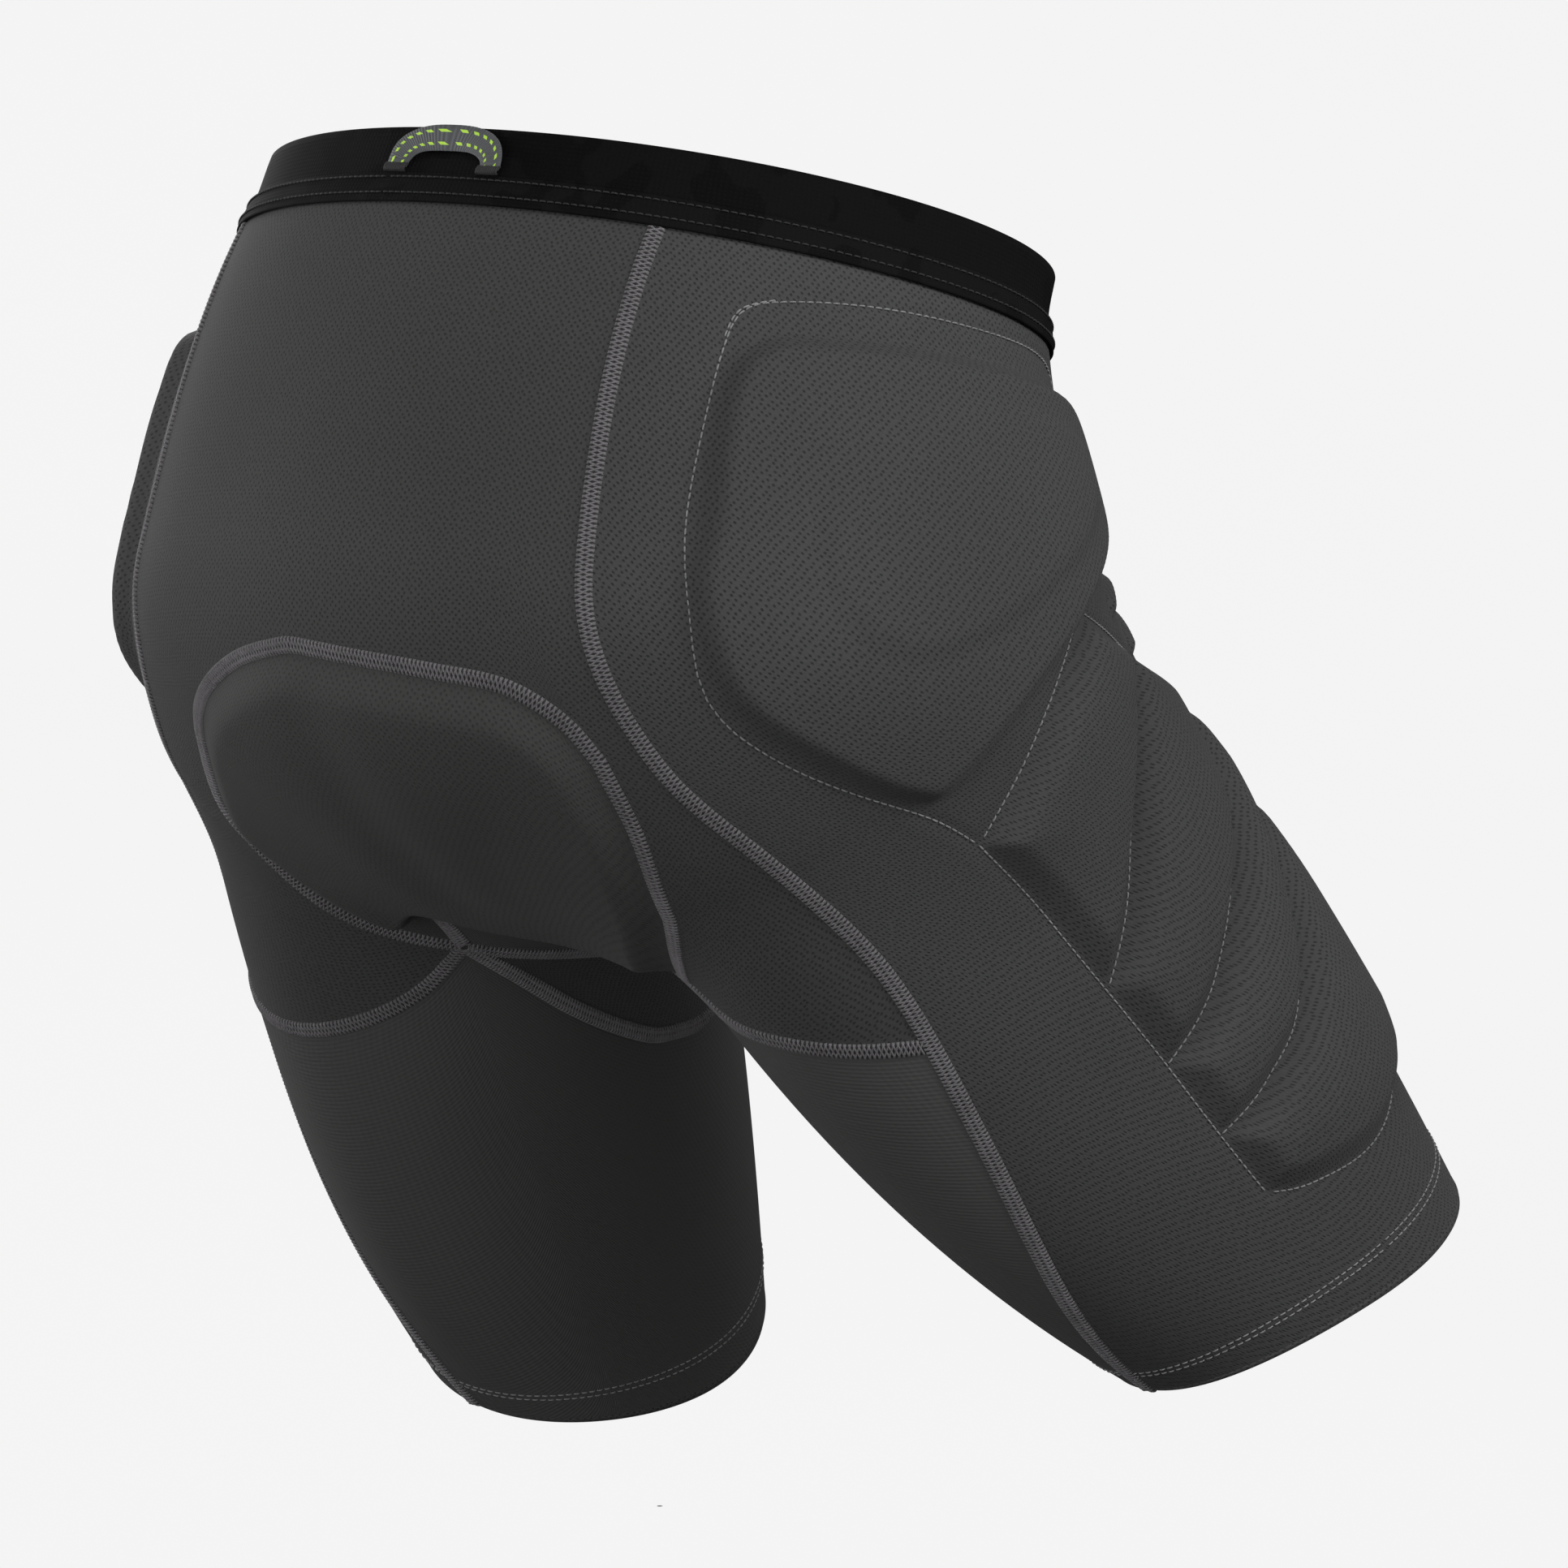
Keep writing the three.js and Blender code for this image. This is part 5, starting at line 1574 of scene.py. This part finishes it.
# Each light's way from the shorts, as shares of the camera's back and right and of straight up, then
# its size in metres and its power in watts.
LIGHTS = {
    "front_left": ((0.75, -0.75, 0.05), 1.4, 15),
    "front_right": ((0.6, 0.85, 0.4), 1.1, 36),
    "front": ((1, 0, 0.1), 1.4, 9),
    "front_low": ((1, -0.3, -0.7), 1.4, 11),
    "front_top": ((0.8, 0, 0.9), 1.1, 17),
    "rim_left": ((-0.45, -1, 0.25), 1.4, 30),
    "behind": ((-1, -0.25, 0.45), 1.4, 26),
    "rim_right": ((-0.45, 1, 0.3), 1.4, 6),
}


def add_light(name, direction, size, power):
    """A square soft light that shines at the middle of the shorts."""
    data = bpy.data.lights.new(name, "AREA")
    data.size = size
    data.energy = power
    light = bpy.data.objects.new(name, data)
    facing = unit(direction)
    side = unit(np.cross((0, 0, 1), facing))
    axes = np.column_stack([side, np.cross(facing, side), facing])
    at = LIGHT_CENTRE + facing * LIGHT_DISTANCE
    light.matrix_world = Matrix.Translation(at) @ Matrix(axes.tolist()).to_4x4()
    bpy.context.scene.collection.objects.link(light)


directions = np.array([*add_camera(), (0, 0, 1)])
for name, (shares, size, power) in LIGHTS.items():
    add_light(name, np.array(shares) @ directions, size, power)


def add_world():
    """Soft light from above and around, and little from below."""
    world = bpy.data.worlds.new("studio")
    bpy.context.scene.world = world
    world.use_nodes = True
    nodes, links = world.node_tree.nodes, world.node_tree.links
    place = nodes.new("ShaderNodeTexCoord")
    split = nodes.new("ShaderNodeSeparateXYZ")
    span = nodes.new("ShaderNodeMapRange")
    span.interpolation_type = "SMOOTHSTEP"
    for name, value in {"From Min": -0.5, "From Max": 0.9, "To Min": 0.01, "To Max": 0.08}.items():
        span.inputs[name].default_value = value
    links.new(place.outputs["Generated"], split.inputs[0])
    links.new(split.outputs["Z"], span.inputs["Value"])
    links.new(span.outputs["Result"], nodes["Background"].inputs["Strength"])
    nodes["Background"].inputs["Color"].default_value = (1, 1, 1, 1)


add_world()


FLOOR_FLAT = 4000.0
FLOOR_CURVE = 3000.0
WALL_TOP = 9000.0
FLOOR_GAP = 2.5
FLOOR_CENTRE = 1.0
FLOOR_TONES = (0.900, 0.908)


def add_floor():
    """A pale sweep: flat under the shorts, and curved up into a round wall about them. It shines
    evenly, and its own light doesn't reach the shorts."""
    n = Nodes("floor", 0.9, specular=0.0)
    n.shader.inputs["Emission Strength"].default_value = 1.0
    tone = n.patches(n.noise(n.place(), 0.6), 0.0, 1.0)
    n.put(n.shader.inputs["Emission Color"], n.blend(tone, *map(shade, FLOOR_TONES)))
    material = n.finish(BLACK)
    bend = np.linspace(0, np.pi / 2, 24)
    wall = FLOOR_FLAT + FLOOR_CURVE
    away = np.concatenate([[FLOOR_CENTRE], FLOOR_FLAT + FLOOR_CURVE * np.sin(bend), [wall]])
    rise = np.concatenate([[0.0], FLOOR_CURVE * (1 - np.cos(bend)), [WALL_TOP]])
    turn = np.linspace(0, 2 * np.pi, 97)
    ring = np.stack([np.cos(turn), np.sin(turn), 0 * turn], -1)
    low = cad_box[0][2] / METRES - FLOOR_GAP
    points = away[:, None, None] * ring + (rise[:, None, None] + low) * np.array([0, 0, 1])
    faces = grid_faces(len(away), len(turn))
    floor = make_piece("floor", points.reshape(-1, 3), [faces], material)
    floor.visible_diffuse = False
    floor.visible_glossy = False
    floor.visible_shadow = False


add_floor()
bpy.context.scene.view_settings.view_transform = "Standard"
